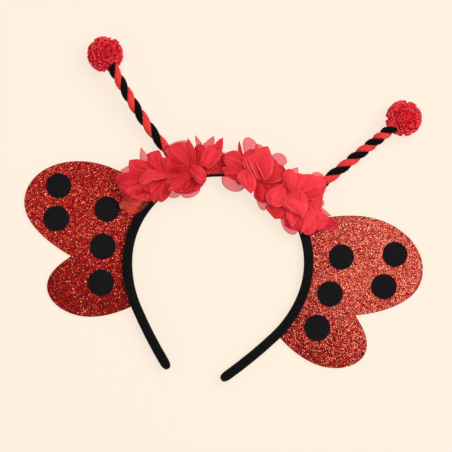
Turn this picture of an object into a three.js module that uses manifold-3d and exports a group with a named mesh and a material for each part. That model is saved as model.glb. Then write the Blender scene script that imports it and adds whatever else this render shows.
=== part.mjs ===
// Ladybug costume headband: a cloth-wrapped hoop that carries two glitter wings with felt spots,
// four chiffon flowers on a strip of net, and two chenille antennae with ruffled pompoms.
// Millimetres, +Z up. It lies on its back: X runs across the wings, Y from the leg tips to the
// crown, and Z out of the front. The origin is the bottom centre of its box.
import * as THREE from "three";
import { mergeVertices } from "three/addons/utils/BufferGeometryUtils.js";
import Module from "manifold-3d";

const wasm = await Module();
wasm.setup();

// Gaps between pieces that touch on the real headband
const GLUE_GAP = 0.2;
const SEAT_GAP = 0.3;

// Sheet thicknesses
const FELT = 1.2;
const GLITTER = 1.2;
const SPOT = 1.0;
const NET = 1.0;
const CHIFFON = 1.0;

// Hoop: its width lies across the band and its depth from back to front
const HOOP_WIDTH = 7;
const HOOP_DEPTH = 7.5;
const HOOP_SQUARENESS = 3;
const HOOP_TIP_LENGTH = 4.5;
const HOOP_STATIONS = 34;
const HOOP_SIDES = 10;
// Half of the centreline, from the crown to one leg tip, as arcs that run on smoothly
const HOOP_ARCS = [
  { part: "crown", radius: 65, sweep: 100 },
  { part: "temple", radius: 81, sweep: 25 },
  { part: "leg", radius: 330, sweep: 8.6 },
];

// Wing outline: curves from the upper root on the hoop round both lobes to the lower root.
// The roots are distances along the hoop's centreline from the crown. The glitter sheet leaves
// a narrow rim of the felt back bare.
const WING_RIM = 0.4;
const WING_UPPER_ROOT = 59;
const WING_LOWER_ROOT = 146.5;
const WING_ROOT_STEPS = 8;
const WING_CURVE_STEPS = 8;
const WING_CURVES = [
  { edge: "upper lobe top", leave: [66, 46.5], arrive: [84, 54], end: [101, 54] },
  { edge: "upper lobe tip", leave: [126, 54], arrive: [146.2, 39], end: [146.2, 19] },
  { edge: "upper lobe underside", leave: [146.2, 0], arrive: [123, -11.5], end: [104.8, -17.4] },
  { edge: "lower lobe shoulder", leave: [112, -25], arrive: [117.5, -31.5], end: [117.5, -39.5] },
  { edge: "lower lobe tip", leave: [117.5, -50.5], arrive: [105, -58.3], end: [90.5, -58.3] },
  { edge: "lower lobe underside", leave: [77, -58.3], arrive: [62, -50.5], end: null },
];

// The left wing mirrors the right one, and its upper lobe droops a little at the top
const WINGS = [
  { name: "left", side: -1, droop: 2 },
  { name: "right", side: 1, droop: 0 },
];
const WING_TOP = 54;

// Felt spots of the right wing
const SPOT_SIDES = 16;
const SPOTS = [
  { x: 123.5, y: 31.6, diameter: 17.9 },
  { x: 120.4, y: 7.3, diameter: 18.3 },
  { x: 86.0, y: 21.9, diameter: 18.2 },
  { x: 83.5, y: -5.8, diameter: 18.5 },
  { x: 79.5, y: -31.6, diameter: 18.8 },
];

// Antenna stems: two strands twisted into one round stem that leans outwards and forwards.
// Places are measured from the hoop's centre, ball is the middle of the pompom, and bow is how
// far the stem's middle swings to the left. The twist begins with some turns a stem and gains
// more towards the end, and front is the share of the stem where black faces forwards.
const STEM_RADIUS = 3.6;
const STEM_HEIGHT = { foot: 6.6, end: 21 };
const STEM_STEPS = 6;
const STRAND_LOBE = { points: 5, halfAngle: 87, dip: 0.12 };
const STRAND_STEP = 60;
const ANTENNAE = [
  {
    name: "left", side: -1, foot: [-37.0, 59.4], end: [-102.6, 121.6], ball: [-109.1, 129.0],
    bow: 3.2, twist: { begin: 3.2, gain: 2.2, front: 0.585 },
  },
  {
    name: "right", side: 1, foot: [46.1, 52.0], end: [102.6, 120.6], ball: [108.4, 127.8],
    bow: 0, twist: { begin: 2.6, gain: 4.7, front: 0.632 },
  },
];

// Pompoms: ruffled strips run from pole to pole of a round core and sway from side to side.
// A strip's section gives places across one strip's share of the ball, at their radii.
const POMPOM = { radius: 12.9, core: 10.2, strips: 9, rings: 10, poleMargin: 10 };
const POMPOM_SWAY = { count: 5, angle: 16 };
const POMPOM_POLE = { tip: 58, turn: 35 };
const POMPOM_STRIP = [
  { place: 0.15, radius: POMPOM.radius },
  { place: 0.55, radius: POMPOM.radius },
  { place: 0.85, radius: POMPOM.core },
];

// Strip of net under the flowers: its angles run round the hoop from +X, and its section
// lies flat on the band, then falls away outwards. It is narrower between its ends.
const TAPE_FROM = 30.5;
const TAPE_TO = 161;
const TAPE_STEPS = 20;
const TAPE_NARROW = 7;
const TAPE_RIPPLE = { count: 7, height: 0.9 };
const TAPE_SECTION = [
  { radius: 63.5, fall: 0 },
  { radius: 71, fall: 0 },
  { radius: 86, fall: 6 },
];

// Flowers: each has a head on the tape and petals that grow from its heart. They are drawn on a
// square grid that has the headband's tilt: columns to the right, rows down, and then the
// height in millimetres above the heart. A petal widens to its left and right corners, belly
// lifts its middle, and its end is round or pointed.
const GRID = { middle: [226, 226], over: [0.2, 26.7], step: 0.709, tilt: 11.8 };
const HEAD = { radius: 5, depth: 4.6 };
const PETAL_STATIONS = [0.06, 0.32, 0.6, 0.83, 1];
const PETAL_SIDES = [-1, 0, 1];
const PETAL_SHOULDER = 0.6;
const PETAL_GATHER = 0.4;
const PETAL_TIP_HALF = 0.7;
const PETAL_POINT = 1.6;
const FLOWERS = [
  {
    name: "flower_outer_left", heart: [164, 177],
    petals: [
      { left: [121, 173, 1], tip: [117, 185, -1.5], right: [130, 199, 0], belly: 2, end: "round" },
      { left: [133, 164, 2], tip: [120, 170, 1], right: [128, 176, 1], belly: 1, end: "point" },
      { left: [143, 160, 4], tip: [129, 160, 3], right: [130, 171, 2], belly: 1, end: "point" },
      { left: [140, 160, 3], tip: [141, 147, 6], right: [149, 159, 5], belly: 2, end: "point" },
      { left: [146, 155, 4], tip: [159, 150, 5], right: [163, 162, 3], belly: 1, end: "point" },
      { left: [135, 186, 5], tip: [127, 195, 2], right: [150, 201, -1], belly: -1, end: "round" },
      { left: [149, 195, 2], tip: [154, 203, 0], right: [161, 191, 3], belly: 2, end: "point" },
      { left: [158, 200, 0], tip: [165, 200, -1], right: [171, 190, 1], belly: 1, end: "round" },
      { left: [163, 162, 5], tip: [168, 157, 5], right: [173, 166, 4], belly: 1, end: "round" },
      { left: [152, 180, 9], tip: [139, 183, 6], right: [147, 169, 6], belly: 2, end: "round" },
    ],
  },
  {
    name: "flower_inner_left", heart: [193.7, 165.6],
    petals: [
      { left: [169, 183, 3], tip: [164, 169, 4], right: [169, 152, 4], belly: 1.5, end: "round" },
      { left: [165, 152, 5], tip: [177, 142, 5], right: [190, 145, 5], belly: 1.5, end: "round" },
      { left: [188, 150, 6], tip: [188, 138, 7], right: [198, 152, 5], belly: 1, end: "point" },
      { left: [196, 149, 6], tip: [195, 135, 7], right: [203, 145, 4], belly: 1, end: "point" },
      { left: [203, 144, 4], tip: [214, 136, 4], right: [214, 148, 2], belly: 1, end: "point" },
      { left: [212, 146, 3], tip: [223, 137, 2], right: [222, 156, 0], belly: 1, end: "point" },
      { left: [216, 148, 2], tip: [221, 157, 0], right: [212, 163, 1], belly: 1.5, end: "round" },
      { left: [196, 193, 0], tip: [205, 187, -1], right: [207, 177, 1], belly: 1, end: "round" },
      { left: [181, 192, -1], tip: [188, 198, -1.5], right: [200, 190, -1], belly: 1, end: "round" },
      { left: [167, 191, 0], tip: [172, 198, -1.5], right: [181, 193, -1], belly: 1, end: "round" },
      { left: [177, 177, 5], tip: [168, 189, 6], right: [181, 187, 8], belly: -2, end: "round" },
    ],
  },
  {
    name: "flower_inner_right", heart: [260.6, 177.2],
    petals: [
      { left: [222, 176, 0], tip: [228, 192, -1.5], right: [247, 189, -1], belly: 1, end: "round" },
      { left: [231, 168, 2], tip: [224, 156, 3], right: [239, 151, 4], belly: 1.5, end: "round" },
      { left: [238, 150, 3], tip: [239, 140, 3], right: [242, 150, 4], belly: 0.5, end: "point" },
      { left: [243, 146, 2], tip: [249, 137, 1], right: [259, 149, 2], belly: 1, end: "round" },
      { left: [255, 147, 2], tip: [260, 144, 1], right: [266, 151, 2], belly: 1, end: "round" },
      { left: [254, 152, 5], tip: [268, 146, 4], right: [272, 161, 3], belly: 1, end: "point" },
      { left: [271, 158, 1], tip: [281, 153, 0], right: [287, 163, 1], belly: 1, end: "round" },
      { left: [278, 164, 1], tip: [287, 172, 0], right: [283, 184, 1], belly: 1, end: "round" },
      { left: [281, 181, 1], tip: [281, 193, 0], right: [268, 198, 1], belly: 1, end: "round" },
      { left: [256, 195, 1], tip: [262, 210, -1.5], right: [268, 202, -1], belly: 1, end: "round" },
      { left: [237, 178, 7], tip: [251, 194, 6], right: [256, 182, 6], belly: 1, end: "point" },
    ],
  },
  {
    name: "flower_outer_right", heart: [291.5, 195.8],
    petals: [
      { left: [289, 171, 2], tip: [298, 167, 1], right: [298, 177, 1], belly: 0.5, end: "point" },
      { left: [311, 176, 2], tip: [319, 172, 1], right: [326, 180, 1], belly: 1, end: "round" },
      { left: [315, 177, 4], tip: [326, 181, 3], right: [321, 197, 3], belly: 2, end: "round" },
      { left: [321, 192, 1], tip: [325, 203, 0], right: [314, 215, 0], belly: 1, end: "round" },
      { left: [320, 206, 1], tip: [332, 216, -1], right: [318, 215, 0], belly: 0.5, end: "point" },
      { left: [323, 213, 1], tip: [329, 222, -1.5], right: [317, 230, -1], belly: 1, end: "round" },
      { left: [323, 217, 3], tip: [314, 233, 0], right: [303, 230, 1], belly: 1, end: "round" },
      { left: [281, 216, 0], tip: [288, 233, -1.5], right: [299, 229, 0], belly: 1, end: "round" },
      { left: [265, 206, 0], tip: [275, 219, -1.5], right: [285, 216, 0], belly: 1, end: "point" },
      { left: [266, 194, 6], tip: [272, 206, 6], right: [284, 203, 8], belly: 2, end: "round" },
      { left: [282, 179, 7], tip: [286, 168, 7], right: [297, 176, 7], belly: 2, end: "round" },
    ],
  },
];
// Where two flowers meet, the first lies over the second
const OVERLAYS = [
  { over: "flower_inner_left", under: "flower_outer_left" },
  { over: "flower_inner_left", under: "flower_inner_right" },
  { over: "flower_outer_right", under: "flower_inner_right" },
];

// Heights of the layers above the floor
const GLITTER_BASE = FELT + GLUE_GAP;
const SPOT_BASE = GLITTER_BASE + GLITTER + GLUE_GAP;
const HOOP_BASE = GLITTER_BASE + GLITTER + SEAT_GAP;
const HOOP_MIDDLE = HOOP_BASE + HOOP_DEPTH / 2;
const TAPE_BASE = HOOP_BASE + HOOP_DEPTH + SEAT_GAP;
const HEAD_BASE = TAPE_BASE + NET + SEAT_GAP;
const PETAL_BASE = HEAD_BASE + HEAD.depth / 2;

const velvet = finish("#141417", 0.95);
const felt = finish("#17171a", 1.0);
const glitter = finish("#b03530", 0.45, 0.35);
const redChenille = finish("#e0343c", 1.0);
const blackChenille = finish("#121214", 1.0);
const ruffle = finish("#cc2433", 0.9);
const net = finish("#c8303a", 0.8);
const chiffon = finish("#e03545", 0.75);

function finish(color, roughness, metalness = 0) {
  return new THREE.MeshStandardMaterial({ color, roughness, metalness });
}

function radians(degrees) {
  return THREE.MathUtils.degToRad(degrees);
}

function sum(values) {
  return values.reduce((total, value) => total + value, 0);
}

function steps(count) {
  return Array.from({ length: count + 1 }, (_, index) => index / count);
}

// A point at a distance from the hoop's centre, at an angle from +X
function around(angle, radius, height) {
  return new THREE.Vector3(Math.cos(radians(angle)) * radius, Math.sin(radians(angle)) * radius, height);
}

// A geometry from points and triangles, with flat faces
function facets(points, triangles) {
  const geometry = new THREE.BufferGeometry().setFromPoints(points);
  geometry.setIndex(triangles.flat());
  return geometry;
}

// A closed skin through rings of points with equal counts. Each ring runs anticlockwise seen
// from the last ring, and both ends are closed by a fan round the ring's middle. A twisted skin
// is split along the other diagonal, so that its flat side bends inwards.
function loft(rings, twisted = false) {
  const count = rings[0].length;
  const points = rings.flat();
  const triangles = [];
  for (let ring = 0; ring + 1 < rings.length; ring += 1) {
    for (let k = 0; k < count; k += 1) {
      const near = ring * count + k;
      const next = ring * count + ((k + 1) % count);
      const [nearUp, nextUp] = [near + count, next + count];
      if (twisted) {
        triangles.push([near, next, nextUp], [near, nextUp, nearUp]);
      } else {
        triangles.push([near, next, nearUp], [next, nextUp, nearUp]);
      }
    }
  }
  for (const [ring, turned] of [[0, true], [rings.length - 1, false]]) {
    const middle = points.length;
    const centre = new THREE.Vector3();
    rings[ring].forEach((point) => centre.addScaledVector(point, 1 / count));
    points.push(centre);
    for (let k = 0; k < count; k += 1) {
      const near = ring * count + k;
      const next = ring * count + ((k + 1) % count);
      triangles.push(turned ? [next, near, middle] : [near, next, middle]);
    }
  }
  return facets(points, triangles);
}

function solid(geometry) {
  const bare = geometry.clone();
  bare.deleteAttribute("normal");
  bare.deleteAttribute("uv");
  const merged = mergeVertices(bare);
  const vertProperties = new Float32Array(merged.attributes.position.array);
  const triVerts = new Uint32Array(merged.index.array);
  return new wasm.Manifold(new wasm.Mesh({ numProp: 3, vertProperties, triVerts }));
}

function joined(solids) {
  return solids.reduce((whole, part) => whole.add(part));
}

// The geometry of a solid's main body, without the crumbs that a cut leaves
function mainBody(body) {
  const largest = body.decompose().reduce((best, part) => (part.volume() > best.volume() ? part : best));
  const mesh = largest.getMesh();
  const geometry = new THREE.BufferGeometry();
  geometry.setAttribute("position", new THREE.BufferAttribute(mesh.vertProperties, mesh.numProp));
  geometry.setIndex(new THREE.BufferAttribute(mesh.triVerts, 1));
  return geometry;
}

function piece(name, geometry, material) {
  const mesh = new THREE.Mesh(geometry, material);
  mesh.name = name;
  return mesh;
}

// Hoop

const HOOP_HALF = sum(HOOP_ARCS.map((arc) => arc.radius * radians(arc.sweep)));

// The centreline's point and outward direction at a distance from the crown, negative to the left
function hoopAt(distance) {
  const side = distance < 0 ? -1 : 1;
  let left = Math.abs(distance);
  let heading = 0;
  let x = 0;
  let y = HOOP_ARCS[0].radius;
  for (const arc of HOOP_ARCS) {
    const turn = Math.min(left / arc.radius, radians(arc.sweep));
    x += arc.radius * (Math.sin(heading + turn) - Math.sin(heading));
    y += arc.radius * (Math.cos(heading + turn) - Math.cos(heading));
    heading += turn;
    left -= turn * arc.radius;
  }
  return { x: side * x, y, outX: side * Math.sin(heading), outY: Math.cos(heading) };
}

// The band's rounded section at a distance along it; it shrinks towards the leg tips
function hoopSection(distance) {
  const spot = hoopAt(distance);
  const toTip = Math.min((HOOP_HALF - Math.abs(distance)) / HOOP_TIP_LENGTH, 1);
  const share = Math.max(Math.sqrt(1 - (1 - toTip) ** 2), 0.3);
  const ring = [];
  for (let k = 0; k < HOOP_SIDES; k += 1) {
    const angle = (2 * Math.PI * (k + 0.5)) / HOOP_SIDES;
    const [c, s] = [Math.cos(angle), Math.sin(angle)];
    const across = Math.sign(c) * Math.abs(c) ** (2 / HOOP_SQUARENESS) * (HOOP_WIDTH / 2) * share;
    const up = Math.sign(s) * Math.abs(s) ** (2 / HOOP_SQUARENESS) * (HOOP_DEPTH / 2) * share;
    const [x, y] = [spot.x + spot.outX * across, spot.y + spot.outY * across];
    ring.push(new THREE.Vector3(x, y, HOOP_MIDDLE + up));
  }
  return ring;
}

function hoopGeometry() {
  const straight = HOOP_HALF - HOOP_TIP_LENGTH;
  const tip = [0, 0.12, 0.4].map((share) => HOOP_HALF - share * HOOP_TIP_LENGTH);
  const middle = steps(HOOP_STATIONS).map((share) => (2 * share - 1) * straight);
  const stations = [...tip.map((distance) => -distance), ...middle, ...tip.reverse()];
  return loft(stations.map(hoopSection));
}

// Wings

// A level on a wing, let down by the wing's droop above the hoop's centre
function drooped({ droop }, level) {
  return level > 0 ? level * (1 - droop / WING_TOP) : level;
}

function wingShape(wing) {
  const { side } = wing;
  const shape = new THREE.Shape();
  const upper = hoopAt(WING_UPPER_ROOT);
  const lower = hoopAt(WING_LOWER_ROOT);
  shape.moveTo(side * upper.x, upper.y);
  for (const { leave, arrive, end } of WING_CURVES) {
    const curve = [leave, arrive, end ?? [lower.x, lower.y]];
    shape.bezierCurveTo(...curve.flatMap(([x, y]) => [side * x, drooped(wing, y)]));
  }
  for (const share of steps(WING_ROOT_STEPS).slice(1, -1)) {
    const spot = hoopAt(THREE.MathUtils.lerp(WING_LOWER_ROOT, WING_UPPER_ROOT, share));
    shape.lineTo(side * spot.x, spot.y);
  }
  shape.closePath();
  return shape;
}

// An outline drawn in by a distance: each point moves across the line between its neighbours
function inset(outline, distance) {
  const inwards = THREE.ShapeUtils.isClockWise(outline) ? -distance : distance;
  return outline.map((point, index) => {
    const before = outline.at(index - 1);
    const after = outline[(index + 1) % outline.length];
    const along = after.clone().sub(before).normalize();
    return new THREE.Vector2(point.x - along.y * inwards, point.y + along.x * inwards);
  });
}

function wingSheet(wing, base, thickness, rim) {
  const outline = wingShape(wing).getPoints(WING_CURVE_STEPS).slice(0, -1);
  const sheet = new THREE.Shape(inset(outline, rim));
  const settings = { depth: thickness, bevelEnabled: false };
  return new THREE.ExtrudeGeometry(sheet, settings).translate(0, 0, base);
}

function wingPieces(wing) {
  const { name, side } = wing;
  const spots = SPOTS.map(({ x, y, diameter }, index) => {
    const disc = new THREE.CylinderGeometry(diameter / 2, diameter / 2, SPOT, SPOT_SIDES);
    const spot = piece(`wing_${name}_dot_${index + 1}`, disc.rotateX(Math.PI / 2), felt);
    spot.position.set(side * x, drooped(wing, y), SPOT_BASE + SPOT / 2);
    return spot;
  });
  return [
    piece(`wing_${name}_backing`, wingSheet(wing, 0, FELT, 0), felt),
    piece(`wing_${name}_glitter`, wingSheet(wing, GLITTER_BASE, GLITTER, WING_RIM), glitter),
    ...spots,
  ];
}

// Antennae

// A point beside the stem's bowed middle line, at an angle round it from its left side
function besideStem({ foot, end, bow }, share, angle, radius) {
  const middle = new THREE.Vector3(...foot, STEM_HEIGHT.foot);
  const far = new THREE.Vector3(...end, STEM_HEIGHT.end);
  const axis = far.clone().sub(middle).normalize();
  const right = new THREE.Vector3().crossVectors(axis, new THREE.Vector3(0, 0, 1)).normalize();
  const front = new THREE.Vector3().crossVectors(right, axis);
  const swing = bow * Math.sin(Math.PI * share) + radius * Math.cos(radians(angle));
  return middle.lerp(far, share)
    .addScaledVector(right, -swing)
    .addScaledVector(front, radius * Math.sin(radians(angle)));
}

// Turns of the twist from the foot to a share of the stem, and the share at a number of turns
function turnsAt({ twist }, share) {
  return twist.begin * share + (twist.gain * share ** 2) / 2;
}

function shareAt({ twist }, turns) {
  return (2 * turns) / (twist.begin + Math.sqrt(twist.begin ** 2 + 2 * twist.gain * turns));
}

// One strand: a half-round lobe of the stem's section that turns with the twist
function strandGeometry(antenna, offset) {
  const whole = turnsAt(antenna, 1);
  const front = turnsAt(antenna, antenna.twist.front);
  const rings = steps(Math.round((whole * 360) / STRAND_STEP)).map((step) => {
    const share = shareAt(antenna, step * whole);
    const turn = 90 + offset + 360 * (step * whole - front);
    return steps(STRAND_LOBE.points - 1).map((place) => {
      const aside = 2 * place - 1;
      const radius = STEM_RADIUS * (1 - STRAND_LOBE.dip * aside ** 2);
      return besideStem(antenna, share, turn + aside * STRAND_LOBE.halfAngle, radius);
    });
  });
  return loft(rings, true);
}

// A plain round bar a little wider than the stem, for cutting its way through other pieces
function stemEnvelope(antenna) {
  const rings = steps(antenna.bow ? STEM_STEPS : 1).map((step) => {
    const share = THREE.MathUtils.lerp(-0.005, 1.005, step);
    const angles = steps(16).slice(1).map((turn) => turn * 360);
    return angles.map((angle) => besideStem(antenna, share, angle, STEM_RADIUS + SEAT_GAP));
  });
  return solid(loft(rings));
}

// One ring of a pompom at an angle down from its pole, in and out over all the strips
function pompomRing(fall) {
  const sway = POMPOM_SWAY.angle * Math.sin(POMPOM_SWAY.count * radians(fall));
  const ring = [];
  for (let strip = 0; strip < POMPOM.strips; strip += 1) {
    for (const { place, radius } of POMPOM_STRIP) {
      const turn = ((strip + place) * 360) / POMPOM.strips + sway;
      ring.push(new THREE.Vector3().setFromSphericalCoords(radius, radians(fall), radians(turn)));
    }
  }
  return ring;
}

function pompomGeometry(antenna) {
  const [top, bottom] = [POMPOM.poleMargin, 180 - POMPOM.poleMargin];
  const falls = steps(POMPOM.rings - 1).map((share) => THREE.MathUtils.lerp(bottom, top, share));
  const ball = loft(falls.map(pompomRing));
  ball.rotateX(radians(POMPOM_POLE.tip)).rotateZ(radians(antenna.side * POMPOM_POLE.turn));
  ball.translate(...antenna.ball, POMPOM.radius);
  return mainBody(solid(ball).subtract(stemEnvelope(antenna)));
}

function antennaPieces(antenna) {
  return [
    piece(`antenna_${antenna.name}_black`, strandGeometry(antenna, 0), blackChenille),
    piece(`antenna_${antenna.name}_red`, strandGeometry(antenna, 180), redChenille),
    piece(`pompom_${antenna.name}`, pompomGeometry(antenna), ruffle),
  ];
}

// Flowers and their net

function tapeSolid() {
  const outer = TAPE_SECTION.at(-1).fall;
  const rings = steps(TAPE_STEPS).map((share) => {
    const angle = THREE.MathUtils.lerp(TAPE_FROM, TAPE_TO, share);
    const ripple = TAPE_RIPPLE.height * Math.sin(2 * Math.PI * TAPE_RIPPLE.count * share);
    const narrow = TAPE_NARROW * (1 - (2 * share - 1) ** 4);
    const radius = (row) => row.radius - (narrow * row.fall) / outer;
    const height = (row) => TAPE_BASE - row.fall + (ripple * row.fall) / outer;
    const under = TAPE_SECTION.map((row) => around(angle, radius(row), height(row)));
    const over = TAPE_SECTION.map((row) => around(angle, radius(row), height(row) + NET));
    return [...over, ...under.reverse()];
  });
  return solid(loft(rings));
}

// The place of a grid point on the headband
function drawn([column, row, height = 0]) {
  const aside = (column - GRID.middle[0]) * GRID.step;
  const ahead = (GRID.middle[1] - row) * GRID.step;
  const turned = new THREE.Vector2(aside, ahead).rotateAround(new THREE.Vector2(), radians(GRID.tilt));
  return new THREE.Vector3(GRID.over[0] + turned.x, GRID.over[1] + turned.y, PETAL_BASE + height);
}

// A point on a petal's middle sheet; side runs from -1 to 1 across it, and slack widens it
function petalPoint(heart, petal, share, side, slack) {
  const [left, tip, right] = [petal.left, petal.tip, petal.right].map(drawn);
  const shoulder = left.clone().lerp(right, 0.5);
  const half = right.sub(left).multiplyScalar(0.5);
  const ahead = tip.sub(shoulder);
  const width = half.length();
  const early = Math.min(share / PETAL_SHOULDER, 1);
  const late = Math.max((share - PETAL_SHOULDER) / (1 - PETAL_SHOULDER), 0);
  const quarter = (late * Math.PI) / 2;
  const point = petal.end === "point";
  const [run, wide] = point ? [late, 1 - late ** PETAL_POINT] : [Math.sin(quarter), Math.cos(quarter)];
  const opening = Math.sin((early * Math.PI) / 2);
  const spread = width * (PETAL_GATHER + (1 - PETAL_GATHER) * opening) * wide;
  const reach = run * (1 + slack / ahead.length());
  const place = heart.clone().lerp(shoulder, early).addScaledVector(ahead, reach);
  place.addScaledVector(half, (side * (Math.max(spread, PETAL_TIP_HALF) + slack)) / width);
  place.z += petal.belly * Math.sin(Math.PI * share ** 0.8) * (1 - side ** 2);
  return place;
}

// A petal as a closed sheet; slack thickens it all round for cutting its neighbours clear
function petalSolid(heart, petal, slack) {
  const along = PETAL_STATIONS.length - 1;
  const across = PETAL_SIDES.length - 1;
  const thickness = CHIFFON / 2 + slack;
  const nudge = 0.02;
  const faces = [];
  for (const share of PETAL_STATIONS) {
    for (const side of PETAL_SIDES) {
      const at = (ahead, aside) => petalPoint(heart, petal, ahead, aside, slack);
      const inside = Math.min(share, 1 - nudge);
      const point = at(share, side);
      const lengthwise = at(inside + nudge, side).sub(at(inside, side));
      const sidewise = at(share, side + nudge).sub(point);
      const normal = lengthwise.cross(sidewise).normalize();
      const upper = point.clone().addScaledVector(normal, thickness);
      faces.push([upper, point.addScaledVector(normal, -thickness)]);
    }
  }
  const rows = along + 1;
  const columns = across + 1;
  const top = (row, column) => row * columns + column;
  const under = (row, column) => rows * columns + top(row, column);
  const triangles = [];
  const quad = (a, b, c, d) => triangles.push([a, b, c], [a, c, d]);
  for (let i = 0; i < along; i += 1) {
    for (let j = 0; j < across; j += 1) {
      quad(top(i, j), top(i + 1, j), top(i + 1, j + 1), top(i, j + 1));
      quad(under(i, j), under(i, j + 1), under(i + 1, j + 1), under(i + 1, j));
    }
    quad(top(i, 0), under(i, 0), under(i + 1, 0), top(i + 1, 0));
    quad(top(i, across), top(i + 1, across), under(i + 1, across), under(i, across));
  }
  for (let j = 0; j < across; j += 1) {
    quad(top(0, j), top(0, j + 1), under(0, j + 1), under(0, j));
    quad(top(along, j), under(along, j), under(along, j + 1), top(along, j + 1));
  }
  return solid(facets([...faces.map((pair) => pair[0]), ...faces.map((pair) => pair[1])], triangles));
}

function flowerSolid(flower, slack = 0) {
  const heart = drawn(flower.heart);
  const radius = HEAD.radius + slack;
  const head = new THREE.SphereGeometry(radius, 8, 4).rotateX(Math.PI / 2);
  head.scale(1, 1, (HEAD.depth / 2 + slack) / radius).translate(...heart);
  const petals = flower.petals.map((petal) => petalSolid(heart, petal, slack));
  return joined([solid(head), ...petals]);
}

function flowerPieces() {
  const stems = ANTENNAE.map(stemEnvelope);
  const tape = stems.reduce((strip, stem) => strip.subtract(stem), tapeSolid());
  const flowers = FLOWERS.map((flower) => {
    const above = OVERLAYS.filter((pair) => pair.under === flower.name)
      .map((pair) => flowerSolid(FLOWERS.find(({ name }) => name === pair.over), SEAT_GAP));
    const clear = [...stems, ...above].reduce((body, other) => body.subtract(other), flowerSolid(flower));
    return piece(flower.name, mainBody(clear), chiffon);
  });
  return [piece("flower_tape", mainBody(tape), net), ...flowers];
}

const headband = new THREE.Group();
headband.add(piece("hoop", hoopGeometry(), velvet));
headband.add(...WINGS.flatMap(wingPieces));
headband.add(...ANTENNAE.flatMap(antennaPieces));
headband.add(...flowerPieces());

// The origin goes to the bottom centre of the whole headband's box
const box = new THREE.Box3().setFromObject(headband);
const middle = box.getCenter(new THREE.Vector3());
headband.position.set(-middle.x, -middle.y, -box.min.z);

export default headband;
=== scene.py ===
"""Ladybug headband: a velvet hoop with felt wings, chenille antennae and chiffon flowers.

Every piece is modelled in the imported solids' frame, in metres and with +Z up. The headband lies on
its back and its hoop is centred on HOOP_CENTRE. Tables of sizes are in millimetres and degrees.
"""
import sys

import logging
import math
from contextlib import contextmanager
from dataclasses import dataclass, field
from enum import Enum
from typing import Iterator, Sequence

import bmesh
import bpy
import numpy as np
from mathutils import Matrix, Vector


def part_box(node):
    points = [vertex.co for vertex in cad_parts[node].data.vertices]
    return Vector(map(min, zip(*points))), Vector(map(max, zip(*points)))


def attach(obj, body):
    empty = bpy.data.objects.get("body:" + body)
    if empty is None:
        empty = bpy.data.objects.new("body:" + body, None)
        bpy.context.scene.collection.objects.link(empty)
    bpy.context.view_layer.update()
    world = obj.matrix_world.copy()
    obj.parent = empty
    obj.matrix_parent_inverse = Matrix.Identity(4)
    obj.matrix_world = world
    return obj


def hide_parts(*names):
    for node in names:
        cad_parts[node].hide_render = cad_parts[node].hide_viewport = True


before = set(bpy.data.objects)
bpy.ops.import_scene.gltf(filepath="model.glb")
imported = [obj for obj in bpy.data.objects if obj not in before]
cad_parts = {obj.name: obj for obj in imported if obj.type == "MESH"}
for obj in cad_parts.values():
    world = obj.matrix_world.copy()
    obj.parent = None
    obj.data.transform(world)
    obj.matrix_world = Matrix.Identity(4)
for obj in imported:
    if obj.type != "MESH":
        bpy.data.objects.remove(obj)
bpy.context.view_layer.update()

Colour = tuple[float, float, float]
GridSpot = tuple[float, float]

MM = 0.001
# The right wing's top, in millimetres from the hoop's centre
WING_TOP = 54.0
HOOP_CENTRE = Vector((0.0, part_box("wing_right_backing")[1].y - WING_TOP * MM, 0.0))
# What the camera looks at, in millimetres from the hoop's centre, and its turn in degrees
VIEW_CENTRE: GridSpot = (0.2, 26.7)
VIEW_ROLL = 11.8
SHARP = math.radians(60)
NEAR_ZERO = 1e-9
log = logging.getLogger("headband")


class Side(Enum):
    """The two halves of the headband seen from the front: left is -X."""

    LEFT = -1
    RIGHT = 1

    @property
    def word(self) -> str:
        """The side's name in lower case."""
        return self.name.lower()


class Tip(Enum):
    """How a petal ends."""

    ROUND = "round"
    POINT = "point"


def linear(red: float, green: float, blue: float) -> Colour:
    """Turn a screen colour into the light values that shaders use.

    Args:
        red, green, blue: screen values from 0 to 255.

    Returns:
        The same colour in linear light.
    """
    def one(value: float) -> float:
        """Straighten one channel."""
        share = value / 255
        return share / 12.92 if share <= 0.04045 else ((share + 0.055) / 1.055) ** 2.4

    return one(red), one(green), one(blue)


def unit(vectors: np.ndarray) -> np.ndarray:
    """Bring every row of an array to length 1."""
    return vectors / np.linalg.norm(vectors, axis=-1, keepdims=True)


def on_hoop(x: float, y: float, z: float = 0.0) -> Vector:
    """Place a point given in millimetres from the hoop's centre.

    Args:
        x, y, z: millimetres from the hoop's centre on the floor.

    Returns:
        The point in the shared frame, in metres.
    """
    return HOOP_CENTRE + Vector((x, y, z)) * MM


def deselect() -> None:
    """Leave no object selected."""
    bpy.ops.object.select_all(action="DESELECT")


def select_only(piece: bpy.types.Object) -> None:
    """Select one object, make it active and leave the rest alone.

    Args:
        piece: the object to select.
    """
    deselect()
    piece.select_set(True)
    bpy.context.view_layer.objects.active = piece


@contextmanager
def editing(piece: bpy.types.Object, kind: str = "VERT") -> Iterator[bmesh.types.BMesh]:
    """Open a piece for edit-mode operators with all of it selected.

    Args:
        piece: the object to edit.
        kind: VERT, EDGE or FACE selection.

    Returns:
        The edit mesh, for selecting and moving points by their place.
    """
    select_only(piece)
    bpy.ops.object.mode_set(mode="EDIT")
    bpy.ops.mesh.select_mode(type=kind)
    bpy.ops.mesh.select_all(action="SELECT")
    yield bmesh.from_edit_mesh(piece.data)
    bmesh.update_edit_mesh(piece.data)
    bpy.ops.object.mode_set(mode="OBJECT")


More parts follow.
